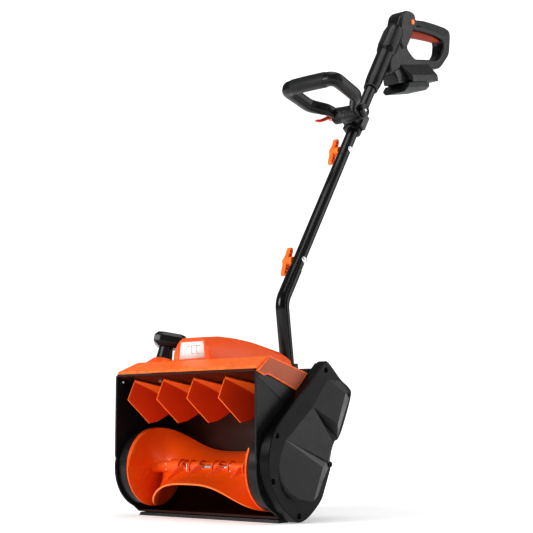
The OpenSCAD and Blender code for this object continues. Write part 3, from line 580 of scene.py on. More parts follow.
def blade_grid():
    """The blade hangs from a band that leans over towards +X and gets deeper to the rear."""
    rows = []
    for (f0, w0), (f1, w1) in zip(between(VANE_TOP, 4), between(VANE_LOW, 4)):
        reach = max(0.0, min(1.0, (52 - f0) / 96))
        depth = min(3.5 + 20 * reach ** 1.25, (w0 - w1) * 0.75 + 0.4)
        row = [Vector((depth * 0.95 * (1 - t) ** 1.35, -f0, w0 - depth * t)) for t in BAND_SHARES]
        for s in range(BLADE_STEPS + 1):
            share = s / BLADE_STEPS
            row.append(Vector((0, -(f0 + (f1 - f0) * share), w0 - depth + (w1 - w0 + depth) * share)))
        rows.append(row)
    return rows


def build_vane(index):
    node = f"vane_{index}"
    bm = bmesh.new()
    add_grid(bm, blade_grid())
    bmesh.ops.transform(bm, matrix=vane_frame(index), verts=bm.verts)
    blade = build_sheet(node + "_blade", bm, VANE_WALL, 0.9, node, node, SHADED_VANE_ORANGE)
    # The band's faces take the brighter orange: painted light on faces that lean downward.
    blade.data.materials.append(LIT_BAND_ORANGE)
    for number, polygon in enumerate(blade.data.polygons):
        if number % (len(BAND_SHARES) + BLADE_STEPS) < len(BAND_SHARES):
            polygon.material_index = 2
    bm = bmesh.new()
    add_lathe(bm, [(-14, 2.2), (-12, 3.2), (-3, 4.4), (-1.2, 5.2), (-1.2, 5), (20.4, 5), (21, 4.4)],
              UPWARD, ACROSS, 32)
    add_lathe(bm, [(8, 9), (8, 9.4), (11.2, 9.4), (11.6, 9)], UPWARD, ACROSS, 32)
    add_hull(bm, [Vector((x, y, z)) for x in (-4.5, 4.5) for y in (0, 24) for z in (8.2, 11.4)])
    add_lathe(bm, [(8, 3), (16, 3), (16.4, 2.5)], UPWARD, ACROSS, 24, Vector((0, 22, 0)))
    build_piece(node + "_pin", bm, (0.4, 2, 40), node, "orange_plastic", node, move=vane_frame(index))


KNOB_TURN = math.radians(-50)


def build_knob():
    """Steering knob: a round neck and a faceted bar for a head."""
    base = Matrix.Translation(joint_place("vane_1_swing")) @ Matrix.Rotation(-ROOF_TILT, 4, "X")
    turn = base @ Matrix.Rotation(KNOB_TURN, 4, "Z")
    bm = bmesh.new()
    profile = [(17, 13), (17, 17), (47, 16.4), (48, 17.4), (50.5, 17.4), (52, 15.6), (72, 13.4), (80, 13.8),
               (84, 16)]
    add_lathe(bm, profile, UPWARD, ACROSS, 56)
    build_piece("steering_knob_neck", bm, (0.6, 2, 25), "vane_1", "housing_black", "steering_knob", move=turn)
    bm = bmesh.new()
    low = [(-13, -14), (13, -14), (15, 0), (11, 17), (-11, 17), (-15, 0)]
    middle = [(-16, -25), (16, -25), (21, -12), (18, 30), (10, 39), (-10, 39), (-18, 30), (-21, -12)]
    top = [(-12, -22), (12, -22), (16, -10), (13, 22), (6, 29), (-6, 29), (-13, 22), (-16, -10)]
    points = [Vector((x, y, 74)) for x, y in low]
    points += [Vector((x, y, z)) for x, y in middle for z in (82, 94)]
    points += [Vector((x, y + 3, 102)) for x, y in top]
    add_hull(bm, points)
    merge_flats(bm)
    build_piece("steering_knob_head", bm, (1.4, 3, 15), "vane_1", "housing_black", "steering_knob", move=turn)


# -------- housing

COVER_BASE = 172.1
COVER_FLANGE = 193
# The cover's flange as [y, z], and the middles of its screw holes
COVER_OUTLINE = [(88, 276), (61, 254), (32, 230), (6, 211), (-25, 185), (-52, 161), (-66, 141), (-73, 116),
                 (-73, 91), (-66, 66), (-52, 44), (-30, 23), (-4, 6), (11, 1), (36, 8), (70, 32), (84, 53),
                 (104, 95), (100, 106), (114, 135), (126, 141), (143, 166), (168, 219), (161, 234),
                 (136, 248), (100, 276)]
COVER_HOLES = [(90, 263), (153, 220), (-50, 148), (92, 97), (8, 12), (-62, 72)]
HOLE_R = 4.6
WEDGE = 2


def lower_facet_x(y, z):
    """Height of the lower facet's flat face, which rises to the rear."""
    return 192 + 21 * ((y + 29) * 55 - (z - 142) * 27) / 61.3 / 93.4


LOWER_EDGE = [(-29, 142), (-41, 120), (-46, 98), (-42, 76), (-30, 57), (-9, 43)]
# Each facet's flat face as [x, y, z], then its foot as [y, z]; the pale one is number WEDGE, its paleness painted
# light on an upward face
FACETS = [
    ([(192.5, 48, 199), (192.5, 95, 246), (210, 126, 222.6), (211, 99.4, 168)],
     [(48, 199), (95, 248), (134, 246), (158, 230), (163, 214), (124, 142)]),
    ([(192.5, 48, 199), (192.5, -29, 142), (205, 78, 102), (206, 91, 136)],
     [(50, 201), (-31, 143), (98, 94), (106, 130), (90, 150)]),
    ([(192.5, -29, 142), (213, 51, 93), (199.5, 80, 103), (205, 72, 86)],
     [(-31, 143), (98, 94), (80, 70), (30, 90)]),
    ([(lower_facet_x(y, z), y, z) for y, z in LOWER_EDGE + [(24, 38), (51, 93)]],
     [(-31, 142), (-43, 121), (-48, 98), (-44, 75), (-32, 55), (-10, 40), (40, 31), (66, 44), (93, 93)])]


def build_belt_cover():
    turns = [math.pi * i / 6 for i in range(12)]
    holes = [[(y + HOLE_R * math.cos(a), z + HOLE_R * math.sin(a)) for a in turns] for y, z in COVER_HOLES]
    plate = rounded_plate("belt_cover_flange", [COVER_OUTLINE] + holes, COVER_BASE, COVER_FLANGE, 2.0)
    place(plate, "housing", "cover_black", "belt_cover", material=FLANGE_BLACK)
    for number, (top, foot) in enumerate(FACETS):
        bm = bmesh.new()
        add_hull(bm, [Vector(p) for p in top] + [Vector((x, y, z)) for y, z in foot for x in (189, 192)])
        merge_flats(bm)
        build_piece(f"belt_cover_facet_{number + 1}", bm, (0.8, 3, 6), "housing", "cover_black", "belt_cover",
                    material=LIT_WEDGE_GREY if number == WEDGE else FACET_GREY)
    bm = bmesh.new()
    for y, z, x in ((153, 220, 198), (92, 97, 200)):
        add_lathe(bm, [(188, 3), (188, 5), (x - 0.4, 5), (x, 4.4), (x, 3.6), (190, 3.2)],
                  origin=Vector((0, y, z)))
    build_piece("belt_cover_screw_wells", bm, None, "housing", "cover_black", "belt_cover",
                material=FLANGE_BLACK)


# Dull, darker panel on the top cover's right skirt, as [y, z]: painted shade of a recess there
SKIRT_SHADE_PANEL = [(-74, 257), (-44, 280.5), (58.5, 255.6), (29, 228.6), (-49, 254), (-59, 251.4)]
# Raised corner of the right side plate as [y, z]: its lower edge is the crease
CREASE = [(-76, 245), (-5, 204.5), (6, 213), (30, 232), (36, 244), (-72, 256)]


def build_side_details():
    """Panel of painted shade on the skirt, creased corner under it, and a bolt in the left plate."""
    bm = bmesh.new()
    add_loft(bm, [[Vector((x, y, z)) for y, z in SKIRT_SHADE_PANEL] for x in (172.6, 173.5)])
    build_piece("skirt_shade_panel", bm, (0.3, 2, 40), "housing", "orange_plastic", material=SHADE_PANEL_RED)
    bm = bmesh.new()
    add_hull(bm, [Vector((169.4, y, z)) for y, z in CREASE]
             + [Vector((171.0, y * 0.97, z + 1.6)) for y, z in CREASE[:2]])
    build_piece("right_plate_crease", bm, (0.3, 2, 10), "housing", "housing_black")
    bm = bmesh.new()
    add_lathe(bm, [(-167, 3.4), (-164.6, 3.4), (-163.4, 2.6), (-162.8, 1)], origin=Vector((0, -62, 247)),
              steps=24)
    build_piece("left_plate_bolt", bm, None, "housing", "steel")


def build_housing():
    for node in ("scoop_shell", "left_side_plate", "right_side_plate", "scraper_bar", "left_bearing_drum",
                 "right_bearing_drum", "rear_housing", "tube_socket", "cover_backplate"):
        polish(node, 0.7)
    for node in ("scraper_screws", "rotor_bearings", "roof_bolts", "belt_cover_screws", "motor_can",
                 "motor_plate", "controller_board", "vane_link", "drive_belt", "power_cable"):
        polish(node, 0.25)
    # The scoop's inside gets the brown-red tint: painted reflection of the orange parts.
    frame["nodes"]["scoop_shell"].data.materials[0] = INSIDE_BOUNCE_RED
    build_belt_cover()
    build_side_details()
    polish("top_cover", 1.4, angle=20, segments=3)


def build_dome():
    """The dome with a frame, a face and generic line marks for its label."""
    polish("dome_cover", 1.6, angle=24, segments=3)
    low, high = node_box("label_plate")
    width, height = high.x - low.x, high.z - low.z
    corners = [[(-0.06, -0.06), (1.05, -0.01), (0.97, 1.03), (0.02, 1.03)],
               [(0.0, 0.04), (0.985, 0.07), (0.92, 0.94), (0.07, 0.94)]]
    outer, inner = [[Vector((low.x + width * u, 0, low.z + height * v)) for u, v in row] for row in corners]
    back = high.y + 1.5
    bm = bmesh.new()
    rings = [(back, outer), (low.y - 0.2, outer), (low.y - 0.2, inner), (back, inner)]
    add_loft(bm, [[Vector((p.x, y, p.z)) for p in ring] for y, ring in rings], closed=True)
    build_piece("label_frame", bm, (0.8, 3, 40), "housing", "orange_plastic")
    bm = bmesh.new()
    add_loft(bm, [[Vector((p.x, y, p.z)) for p in inner] for y in (back, low.y + 0.6)])
    build_piece("label_face", bm, None, "housing", "label_white", "label_plate")
    bm = bmesh.new()
    face = low.y + 0.4
    strokes = [((-0.20, 0.72), (0.30, 0.72)), ((-0.02, 0.72), (-0.02, 0.32)), ((-0.02, 0.32), (0.08, 0.32)),
               ((0.17, 0.72), (0.17, 0.32)), ((0.17, 0.32), (0.27, 0.32)), ((-0.24, 0.55), (-0.20, 0.55))]
    pen = 0.35
    for (u0, v0), (u1, v1) in strokes:
        x0, x1 = sorted((low.x + width * (0.5 + u0), low.x + width * (0.5 + u1)))
        z0, z1 = sorted((low.z + height * v0, low.z + height * v1))
        add_hull(bm, [Vector((x, y, z)) for x in (x0 - pen, x1 + pen) for y in (face, face + 0.4)
                      for z in (z0 - pen, z1 + pen)])
    marks = mesh_object("label_marks", bm, smooth=False)
    place(marks, "housing", "label_white", material=PRINT_RED)


# -------- tubes

LOW_BOLT = joint_place("lower_wing_knob_turn")
HIGH_BOLT = joint_place("upper_wing_knob_turn")
TUBE_UP = (HIGH_BOLT - LOW_BOLT).normalized()
TUBE_BACK = ACROSS.cross(TUBE_UP) * -1
TUBE_AXES = axes_matrix(ACROSS, TUBE_BACK, TUBE_UP)
# The lower tube's bend, and places measured from it along the tubes
BEND = LOW_BOLT - TUBE_UP * 106
STUB_LEAN = math.radians(7.6)
STUB_UP = Vector((0, -math.sin(STUB_LEAN), math.cos(STUB_LEAN)))
TUBE_R = node_box("upper_tube")[1].x
STUB_R = node_box("lower_tube")[1].x - 0.2
BEND_R = 45
LOWER_JOINT = 84
UPPER_JOINT = 395
TUBE_END = 700


def tube_object(node, stations):
    """A tube from stations of [point, direction, radius]; its bends lie in the YZ plane."""
    bm = bmesh.new()
    rings = []
    for point, run, radius in stations:
        side = run.cross(ACROSS)
        rings.append([point + (ACROSS * math.cos(a) + side * math.sin(a)) * radius
                      for a in (2 * math.pi * i / 72 for i in range(72))])
    add_loft(bm, rings)
    build_piece(node + "_outer", bm, (0.2, 2, 40), "housing", SLOT_OF[node], node)


def straight_stations(start, end, radius):
    """Straight run along the tube with a rolled lip at its lower end."""
    steps = [(0, radius - 1.2), (0, radius - 0.2), (0.5, radius + 0.25), (2.0, radius + 0.25), (2.8, radius)]
    out = [(BEND + TUBE_UP * (start + t), TUBE_UP, r) for t, r in steps]
    out += [(BEND + TUBE_UP * t, TUBE_UP, radius) for t in (start + 40, end - 40, end - 0.8)]
    return out + [(BEND + TUBE_UP * end, TUBE_UP, radius - 0.6)]


def build_tubes():
    turn = math.acos(STUB_UP.dot(TUBE_UP))
    tangent = BEND_R * math.tan(turn / 2)
    start = BEND - STUB_UP * tangent
    forward = STUB_UP.cross(ACROSS) * -1
    if forward.dot(TUBE_UP) < 0:
        forward = forward * -1
    stations = [(BEND - STUB_UP * t, STUB_UP, STUB_R) for t in (150, 90, 45)]
    for i in range(21):
        a = turn * i / 20
        point = start + STUB_UP * (BEND_R * math.sin(a)) + forward * (BEND_R * (1 - math.cos(a)))
        stations.append((point, STUB_UP * math.cos(a) + forward * math.sin(a), STUB_R))
    stations += [(BEND + TUBE_UP * t, TUBE_UP, STUB_R) for t in (50, LOWER_JOINT - 1.6)]
    stations.append((BEND + TUBE_UP * (LOWER_JOINT - 0.6), TUBE_UP, STUB_R - 0.8))
    tube_object("lower_tube", stations)
    tube_object("middle_tube", straight_stations(LOWER_JOINT, UPPER_JOINT - 0.4, TUBE_R))
    tube_object("upper_tube", straight_stations(UPPER_JOINT, TUBE_END, TUBE_R))
    build_joint_bolt("lower_joint_bolt", LOW_BOLT)
    build_joint_bolt("upper_joint_bolt", HIGH_BOLT)
    for node in ("clamp_screws", "handle_screws"):
        polish(node, 0.3)


def build_joint_bolt(node, centre):
    """Carriage bolt with a low domed head."""
    bm = bmesh.new()
    dome = [(-0.6, 3), (-0.6, 6.6), (0.9, 7), (1.7, 6.8), (2.7, 5.8), (3.5, 4.2), (3.9, 2.4), (4.0, 0.8)]
    dome = [(TUBE_R + along, radius) for along, radius in dome]
    add_lathe(bm, [(-30, 2.6), (-29.4, 3)] + dome, origin=centre)
    build_piece(node + "_head", bm, (0.25, 2, 45), "housing", "steel", node)


WING_TURN = math.radians(10)
# Half of the outline, from the hub round one wing's tip: [across, along]
WING_HALF = [(8.6, 0), (8.2, 5), (6.6, 10), (5.4, 15.5), (5.2, 22), (4.6, 27.5), (2.6, 31.6), (-0.6, 32.8),
             (-3.7, 31.2), (-5.2, 27), (-5.3, 21), (-5.2, 15.5), (-6.2, 10), (-8.0, 5)]


def wing_outline(inset):
    """Outline of both wings and the hub seen along the bolt, as [back, up the tube]."""
    points = WING_HALF + [(-a, -b) for a, b in WING_HALF]
    out = []
    cos, sin = math.cos(WING_TURN), math.sin(WING_TURN)
    for a, b in catmull(points, 3, closed=True):
        b -= math.copysign(min(inset, abs(b) * 0.12), b)
        a -= math.copysign(min(inset, abs(a) * 0.7), a)
        out.append((a * cos - b * sin, a * sin + b * cos))
    return out


def build_wing_knob(node, centre):
    """Wing nut with dished, ribbed wings and a domed hub."""
    turn = Matrix.Translation(centre) @ TUBE_AXES
    rings = [(-37, 1.3), (-36.2, 0.3), (-35.4, 0), (-26.8, 0), (-26.2, 0.4), (-26.2, 1.1), (-26.8, 1.5),
             (-34.2, 2.4)]
    bm = bmesh.new()
    add_loft(bm, [[Vector((x, a, b)) for a, b in wing_outline(inset)] for x, inset in rings])
    cos, sin = math.cos(WING_TURN), math.sin(WING_TURN)
    for at in (-28, -20, -11.5, 11.5, 20, 28):
        add_hull(bm, [Vector((x, a * cos - (at + b) * sin, a * sin + (at + b) * cos))
                      for x in (-35, -26.9) for a in (-4.2, 4.2) for b in (-0.7, 0.7)])
    add_lathe(bm, [(-39, 4), (-38.8, 6.2), (-37.6, 8.2), (-35.6, 9.2), (-15, 9.4), (-14, 9), (-13.6, 8)])
    build_piece(node + "_wings", bm, (0.4, 2, 35), node, "orange_plastic", node, material=LIT_KNOB_ORANGE,
                move=turn)


# -------- front handle

HINGE = joint_place("front_handle_tilt")
LOOP_UP = Vector(JOINTS["aux_lever_open"]["axis"]).normalized()
LOOP_BACK = LOOP_UP.cross(ACROSS)
LOOP = Matrix.Translation(HINGE) @ axes_matrix(ACROSS, LOOP_BACK, LOOP_UP)
LEVER_X = JOINTS["aux_lever_open"]["pos_m"][0] / MM
# The bar's middle from the hinge to the middle of the grip: [x, y, half width, half height]
LOOP_PATH = [(30.7, 3, 5.8, 13), (30.6, -12, 6.2, 12.8), (31.5, -22, 7.4, 13), (36, -34, 9.2, 13.2),
             (46, -46, 10.8, 13.5), (56, -57, 12.2, 13.8), (61.5, -68, 12.4, 14), (62.6, -82, 12.6, 14),
             (63, -104, 12.8, 14), (63.4, -124, 13.4, 14), (62.6, -136, 14.4, 14), (57, -144.6, 14.6, 14.2),
             (47, -147.6, 14.3, 14.4), (30, -148.4, 14.4, 14.5), (0, -149, 14.5, 14.5)]
ROUNDNESS = 0.78


def squircle(half_width, half_height, count=28):
    """A rounded, slightly squared ring."""
    turns = [2 * math.pi * i / count for i in range(count)]
    return [(math.copysign(abs(math.cos(t)) ** ROUNDNESS, math.cos(t)) * half_width,
             math.copysign(abs(math.sin(t)) ** ROUNDNESS, math.sin(t)) * half_height) for t in turns]


def bar_rings(path):
    rings = []
    for i, (x, y, a, b) in enumerate(path):
        before, after = path[max(0, i - 1)], path[min(len(path) - 1, i + 1)]
        run = Vector((after[0] - before[0], after[1] - before[1], 0)).normalized()
        across = Vector((-run.y, run.x, 0))
        rings.append([Vector((x, y, 0)) + across * u + Vector((0, 0, w)) for u, w in squircle(a, b)])
    return rings


def build_front_handle():
    """The loop with its two eyes, its soft grip, the clamp and what the hinge bolt carries."""
    half = catmull(LOOP_PATH, 6)
    path = half + [(-x, y, a, b) for x, y, a, b in reversed(half[:-1])]
    bm = bmesh.new()
    add_loft(bm, bar_rings(path))
    for side in (-1, 1):
        profile = [(24.6, 15), (24.6, 17.6), (25.6, 18.5), (28, 18.5), (28.6, 17.4), (29.6, 17.4),
                   (30.2, 18.5), (35.6, 18.5), (36.9, 17.4), (36.9, 9)]
        add_lathe(bm, [(side * along, radius) for along, radius in profile])
    build_piece("front_loop", bm, (0.5, 2, 40), "front_handle", "handle_grey", "aux_handle_loop", move=LOOP)
    bm = bmesh.new()
    sleeve = [p for p in path if abs(p[0]) < 46 and p[1] < -100]
    grown = [(x, y, a + 0.9 - 1.6 * (i in (0, len(sleeve) - 1)), b + 0.9 - 1.6 * (i in (0, len(sleeve) - 1)))
             for i, (x, y, a, b) in enumerate(sleeve)]
    add_loft(bm, bar_rings(grown))
    build_piece("front_loop_grip", bm, None, "front_handle", "grip_rubber", "aux_handle_loop", move=LOOP)
    for node in ("clamp_front", "clamp_rear"):
        polish(node, 1.4, segments=3)
    build_clamp_ribs()
    build_round_knob()
    build_lever()


def build_clamp_ribs():
    """Toothed rosettes between the clamp's barrel and the eyes."""
    bm = bmesh.new()
    for at in (-23.2, -20.4, -17.6, 17.6, 20.4, 23.2):
        add_lathe(bm, [(at - 0.9, 17), (at - 0.9, 18), (at + 0.9, 18), (at + 0.9, 17)])
    build_piece("clamp_rosettes", bm, (0.3, 2, 30), "housing", SLOT_OF["clamp_front"], move=LOOP)


def build_round_knob():
    """Fluted hand knob with a dished face and a bright star in it, and the hinge bolt under it."""
    bm = bmesh.new()
    add_lathe(bm, [(37.3, 4.3), (37.3, 13.2), (38.2, 14), (42.6, 14), (44.6, 13.4), (45.4, 12), (45.4, 9.8),
                   (43.4, 8.6), (43.2, 4.3)])
    for i in range(10):
        a = math.radians(36 * i)
        add_lathe(bm, [(37.8, 1.2), (38.3, 1.9), (42.4, 1.9), (43.2, 1.2)], steps=12,
                  origin=Vector((0, 12.9 * math.cos(a), 12.9 * math.sin(a))))
    build_piece("aux_knob_body", bm, (0.4, 2, 35), "aux_knob", "housing_black", "aux_knob", move=LOOP)
    bm = bmesh.new()
    add_loft(bm, [[Vector((x, r * math.cos(math.radians(a)), r * math.sin(math.radians(a))))
                   for a, r in ((45 * i, outer if i % 2 == 0 else inner) for i in range(8))]
                  for x, outer, inner in ((43.1, 5.6, 2.4), (44.4, 5.2, 2.2), (44.8, 3.4, 1.6))])
    bmesh.ops.transform(bm, matrix=LOOP, verts=bm.verts)
    star = mesh_object("aux_knob_star", bm, smooth=False)
    place(star, "aux_knob", "steel", "aux_knob")
    bm = bmesh.new()
    add_lathe(bm, [(-50, 3), (-49.2, 4), (42.8, 4), (43.2, 3.4)], steps=32)
    add_lathe(bm, [(-7.4, 1.4), (-7, 2), (7, 2), (7.4, 1.4)], UPWARD, ACROSS, 24, ACROSS * LEVER_X)
    build_piece("hinge_bolt", bm, (0.3, 2, 40), "front_handle", "steel", "aux_pivot_bolt", move=LOOP)


def build_lever():
    """Cam lever: a round boss and a curved tongue."""
    bm = bmesh.new()
    add_lathe(bm, [(-7, 6.6), (-6, 8), (6, 8), (7, 6.6)], UPWARD, ACROSS, 40, ACROSS * LEVER_X)
    path = [(-2.2, -5, -1, 5.4, 5.0), (-3.2, -14, -9, 5.4, 5.0), (-4.2, -24, -17.5, 5.6, 4.6),
            (-4.8, -34, -24.5, 5.4, 3.8), (-5.2, -44, -28.5, 4.6, 2.6), (-5.2, -46.4, -29.2, 2.4, 1.2)]
    rings = []
    for dx, y, z, a, b in catmull(path, 4):
        rings.append([Vector((LEVER_X + dx + u, y, z + w)) for u, w in squircle(a, b, 20)])
    add_loft(bm, rings)
    build_piece("aux_lever_tongue", bm, (0.4, 2, 40), "aux_lever", "orange_plastic", "aux_lever",
                material=LEVER_RED, move=LOOP)


# -------- main handle

# The handle seen from the side, as [back, up]
FRAME_OUTLINE = [(592, 988), (600, 966), (642, 991), (772, 1020), (818, 1034), (832, 1044), (869, 1082),
                 (877, 1132), (872, 1146), (852, 1147.6), (796, 1142), (749, 1136), (712, 1129), (703, 1140),
                 (688, 1142.6), (664, 1139), (645, 1122), (612, 1044)]
FRAME_OPENING = [(698, 1100), (684, 1077), (670, 1048), (706, 1030), (812, 1055), (835, 1079), (840, 1112),
                 (800, 1113.5), (744, 1108)]
OVERMOULD = [(716, 1130), (749, 1137.4), (796, 1143.4), (850, 1148), (866, 1145), (858, 1124), (838, 1119),
             (800, 1120), (748, 1114), (708, 1107)]
NOSE = [(632, 1058), (640, 1100), (648, 1125), (664, 1138.6), (688, 1142), (701, 1139), (706, 1130),
        (699, 1106), (686, 1080), (668, 1052), (650, 1038)]
TRIGGER = [(700, 1092), (718, 1089), (772, 1098), (810, 1103), (838, 1107), (842, 1113), (836, 1121.5),
           (800, 1122.6), (742, 1117), (704, 1109)]
GRIP_HALF = 17
EDGE_STEPS = 4
# The CAD nodes that the pieces of the handle's hard body stand for
SHELLS = ("handle_shell_left", "handle_shell_right")


def cornered(points, size):
    """A polygon whose corners are cut off in short curves that start at most this far from each corner."""
    out = []
    for before, corner, after in zip(points[-1:] + points[:-1], points, points[1:] + points[:1]):
        at = Vector(corner)
        ends = []
        for other in (before, after):
            way = Vector(other) - at
            ends.append(at + way.normalized() * min(size, way.length * 0.4))
        for i in range(EDGE_STEPS + 1):
            t = i / EDGE_STEPS
            out.append(tuple(ends[0] * (1 - t) ** 2 + at * (2 * t * (1 - t)) + ends[1] * t ** 2))
    return out


def rounded_plate(name, outlines, x0, x1, radius, corner=None):
    """A plate between x0 and x1 with round edges; the first outline is its border and the rest are holes."""
    curve = bpy.data.curves.new(name, "CURVE")
    curve.dimensions = "2D"
    curve.fill_mode = "BOTH"
    curve.extrude = (x1 - x0) / 2 * MM - radius * MM
    curve.bevel_depth = radius * MM
    curve.bevel_resolution = EDGE_STEPS
    curve.offset = -radius * MM
    for outline in outlines:
        spline = curve.splines.new("POLY")
        points = cornered(outline, corner) if corner else catmull(outline, 4, closed=True)
        spline.points.add(len(points) - 1)
        for point, (y, z) in zip(spline.points, points):
            point.co = (y * MM, z * MM, 0, 1)
        spline.use_cyclic_u = True
    holder = bpy.data.objects.new(name, curve)
    bpy.context.scene.collection.objects.link(holder)
    bpy.context.view_layer.update()
    mesh = bpy.data.meshes.new_from_object(holder.evaluated_get(bpy.context.evaluated_depsgraph_get()))
    bpy.data.objects.remove(holder)
    axes = Matrix(((0, 0, 1, 0), (1, 0, 0, 0), (0, 1, 0, 0), (0, 0, 0, 1)))
    mesh.transform(Matrix.Translation(((x0 + x1) / 2 * MM, 0, 0)) @ axes)
    bm = bmesh.new()
    bm.from_mesh(mesh)
    bmesh.ops.remove_doubles(bm, verts=bm.verts, dist=SAME_POINT_M)
    bmesh.ops.scale(bm, vec=(1 / MM, 1 / MM, 1 / MM), verts=bm.verts)
    piece = mesh_object(name, bm)
    normals = piece.modifiers.new("normals", "WEIGHTED_NORMAL")
    normals.keep_sharp = False
    return piece


BARREL_START = 607
BARREL = [(0, 13.2), (0, 15.6), (1.2, 16.6), (8, 16.8), (22, 18.4), (36, 19), (112, 19), (117, 20),
          (124, 22.4), (130, 22.8), (186, 23), (196, 21.6), (204, 18), (208, 13)]


def build_barrel():
    """Sleeve round the tube's upper end, with raised flutes along its wider part."""
    bm = bmesh.new()
    start = BEND + TUBE_UP * BARREL_START
    add_loft(bm, lathe_rings(BARREL, start, TUBE_UP, ACROSS, 72))
    for degrees in (-128, -96, -64, -32, 0, 32, 64):
        a = math.radians(degrees)
        out = ACROSS * math.cos(a) + TUBE_BACK * math.sin(a)
        side = ACROSS * -math.sin(a) + TUBE_BACK * math.cos(a)
        add_hull(bm, [start + TUBE_UP * t + out * r + side * w for t, r, half in
                      ((126, 21.5, 3.4), (136, 24.2, 2.2), (182, 24.2, 2.2), (196, 20.5, 3))
                      for w in (half, -half)])
    build_piece("handle_barrel", bm, (0.9, 3, 30), "housing", "handle_grey", *SHELLS)


BATTERY_PLACE = (0, 590, 935)
BATTERY_AXIS = Vector(JOINTS["battery_slide"]["axis"]).normalized()
BATTERY_UP = ACROSS.cross(BATTERY_AXIS)
BATTERY_FRAME = Matrix.Translation(BATTERY_PLACE) @ axes_matrix(ACROSS, BATTERY_AXIS, BATTERY_UP)


def build_foot():
    """Foot over the battery: a level rim, two sloping shoulders and a narrower nose over the terminals."""
    bm = bmesh.new()
    rim = [(-36, 77), (36, 77), (36, 197), (-36, 197)]
    crown = [(-17, 60), (17, 60), (17, 192), (-17, 192)]
    add_hull(bm, [Vector((x, y, z)) for x, y in rim for z in (7.2, 22)]
             + [Vector((x, y, 52)) for x, y in crown])
    nose = [(20, 37, 7.2), (20, 36, 20), (13, 33, 44), (20, 90, 7.2), (17, 90, 44)]
    add_hull(bm, [Vector((side * x, y, z)) for side in (-1, 1) for x, y, z in nose])
    merge_flats(bm)
    build_piece("handle_foot", bm, (2.2, 4, 20), "housing", "handle_grey", *SHELLS, move=BATTERY_FRAME)


def build_battery():
    """Slide-on pack: a flat-topped block with a sloping front and cut-off lower edges."""
    bm = bmesh.new()
    sides = [(34, 64, 6.2), (35, 60, 2), (35, 51, -5), (26, 46, -13.5), (26, 147, -12), (35, 150, -5),
             (35, 152.4, 6.2)]
    add_hull(bm, [Vector((side * x, y, z)) for side in (-1, 1) for x, y, z in sides])
    merge_flats(bm)
    build_piece("battery_case", bm, (1.8, 4, 12), "battery_pack", "battery_black", "battery_pack",
                move=BATTERY_FRAME)


def build_main_handle():
    build_barrel()
    build_foot()
    build_battery()
    plates = [("handle_frame", [FRAME_OUTLINE, FRAME_OPENING], GRIP_HALF, 5.5, 12, "handle_grey", SHELLS),
              ("handle_nose", [NOSE], 21, 4, 8, "handle_grey", SHELLS),
              ("grip_sleeve", [OVERMOULD], GRIP_HALF + 1.2, 6.5, 8, "grip_rubber", ["grip_overmould"])]
    for name, outlines, half, radius, corner, slot, nodes in plates:
        place(rounded_plate(name, outlines, -half, half, radius, corner), "housing", slot, *nodes)
    trigger = rounded_plate("trigger_bar", [TRIGGER], -7.5, 7.5, 3, corner=6)
    place(trigger, "trigger", "orange_plastic", "trigger", material=TRIGGER_RED)
    build_lock_button()
    for node in ("battery_latch", "terminal_block", "trigger_switch"):
        polish(node, 0.8)


def build_lock_button():
    low, high = node_box("lock_button")
    centre = (low + high) / 2
    bm = bmesh.new()
    add_lathe(bm, [(low.x, 3), (low.x + 0.6, 5.2), (low.x + 2, 6.4), (high.x - 2, 6.4), (high.x - 0.6, 5.2),
                   (high.x, 3)], origin=Vector((0, centre.y, centre.z)))
    build_piece("lock_button_body", bm, (0.4, 2, 30), "lock_button", "orange_plastic", "lock_button",
                material=PALE_HIGHLIGHT_ORANGE)


# -------- studio

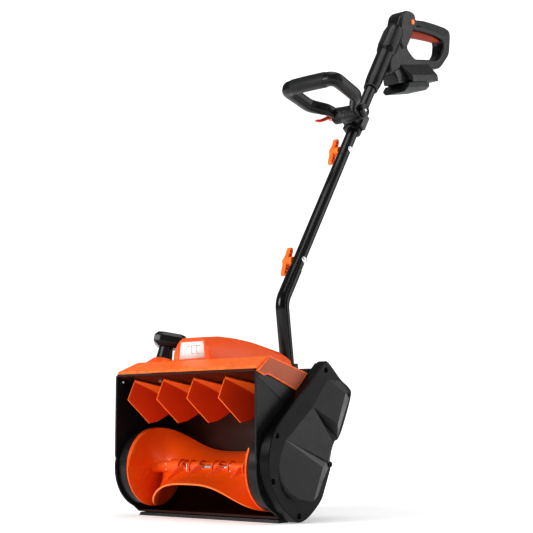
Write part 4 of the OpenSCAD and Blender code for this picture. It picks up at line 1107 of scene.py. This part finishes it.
def build_studio():
    """Pale floor that glows faintly far away, so that it meets the white backdrop without a line."""
    bm = bmesh.new()
    tile, reach = 500, 24
    marks = [tile * i for i in range(-reach, reach + 1)]
    add_grid(bm, [[Vector((x, y, 0)) for x in marks] for y in marks])
    floor = mesh_object("floor", bm)
    material, nodes, links, shader = new_material("studio_floor")
    shader.inputs["Base Color"].default_value = (0.9, 0.9, 0.9, 1)
    shader.inputs["Roughness"].default_value = 0.95
    shader.inputs["Specular IOR Level"].default_value = 0.1
    coords = nodes.new("ShaderNodeTexCoord")
    length = nodes.new("ShaderNodeVectorMath")
    length.operation = "LENGTH"
    links.new(coords.outputs["Object"], length.inputs[0])
    glow = ranged(nodes, links, length.outputs["Value"], 0.3, 1.0, 0.4, 1.6)
    shader.inputs["Emission Color"].default_value = (1, 1, 1, 1)
    links.new(glow, shader.inputs["Emission Strength"])
    floor.data.materials.append(material)
    world = bpy.data.worlds.new("studio")
    bpy.context.scene.world = world
    world.use_nodes = True
    nodes, links = world.node_tree.nodes, world.node_tree.links
    backdrop = nodes["Background"]
    ambient = nodes.new("ShaderNodeBackground")
    for background, strength in ((backdrop, 1.0), (ambient, 0.22)):
        background.inputs["Color"].default_value = (1, 1, 1, 1)
        background.inputs["Strength"].default_value = strength
    path = nodes.new("ShaderNodeLightPath")
    mix = nodes.new("ShaderNodeMixShader")
    links.new(path.outputs["Is Camera Ray"], mix.inputs["Fac"])
    links.new(ambient.outputs["Background"], mix.inputs[1])
    links.new(backdrop.outputs["Background"], mix.inputs[2])
    links.new(mix.outputs["Shader"], nodes["World Output"].inputs["Surface"])
    bpy.context.scene.view_settings.view_transform = "Standard"
    bpy.context.scene.view_settings.look = "Medium High Contrast"


def add_light(name, place_m, target_m, size_m, power):
    data = bpy.data.lights.new(name, "AREA")
    data.shape = "RECTANGLE"
    data.size, data.size_y = size_m
    data.energy = power
    light = bpy.data.objects.new(name, data)
    bpy.context.scene.collection.objects.link(light)
    light.location = place_m
    light.rotation_mode = "QUATERNION"
    light.rotation_quaternion = (Vector(target_m) - Vector(place_m)).to_track_quat("-Z", "Y")


# Each light's name, place, target and size in metres, and its power in watts
LIGHTS = [("key", (-0.9, -2.3, 1.5), (0, 0, 0.2), (1.1, 1.1), 44),
          ("top", (0.2, 0.0, 2.6), (0, 0.1, 0), (1.4, 1.4), 17),
          ("side", (2.4, 0.2, 1.2), (0, 0.3, 0.5), (0.35, 2.2), 5),
          ("rim", (1.5, 2.0, 1.6), (0, 0.3, 0.5), (1.5, 2.6), 20)]

build_rotor()
for vane_number in (1, 2, 3, 4):
    build_vane(vane_number)
build_knob()
build_housing()
build_dome()
build_tubes()
build_wing_knob("lower_wing_knob", LOW_BOLT)
build_wing_knob("upper_wing_knob", HIGH_BOLT)
build_front_handle()
build_main_handle()
build_studio()
for light_row in LIGHTS:
    add_light(*light_row)
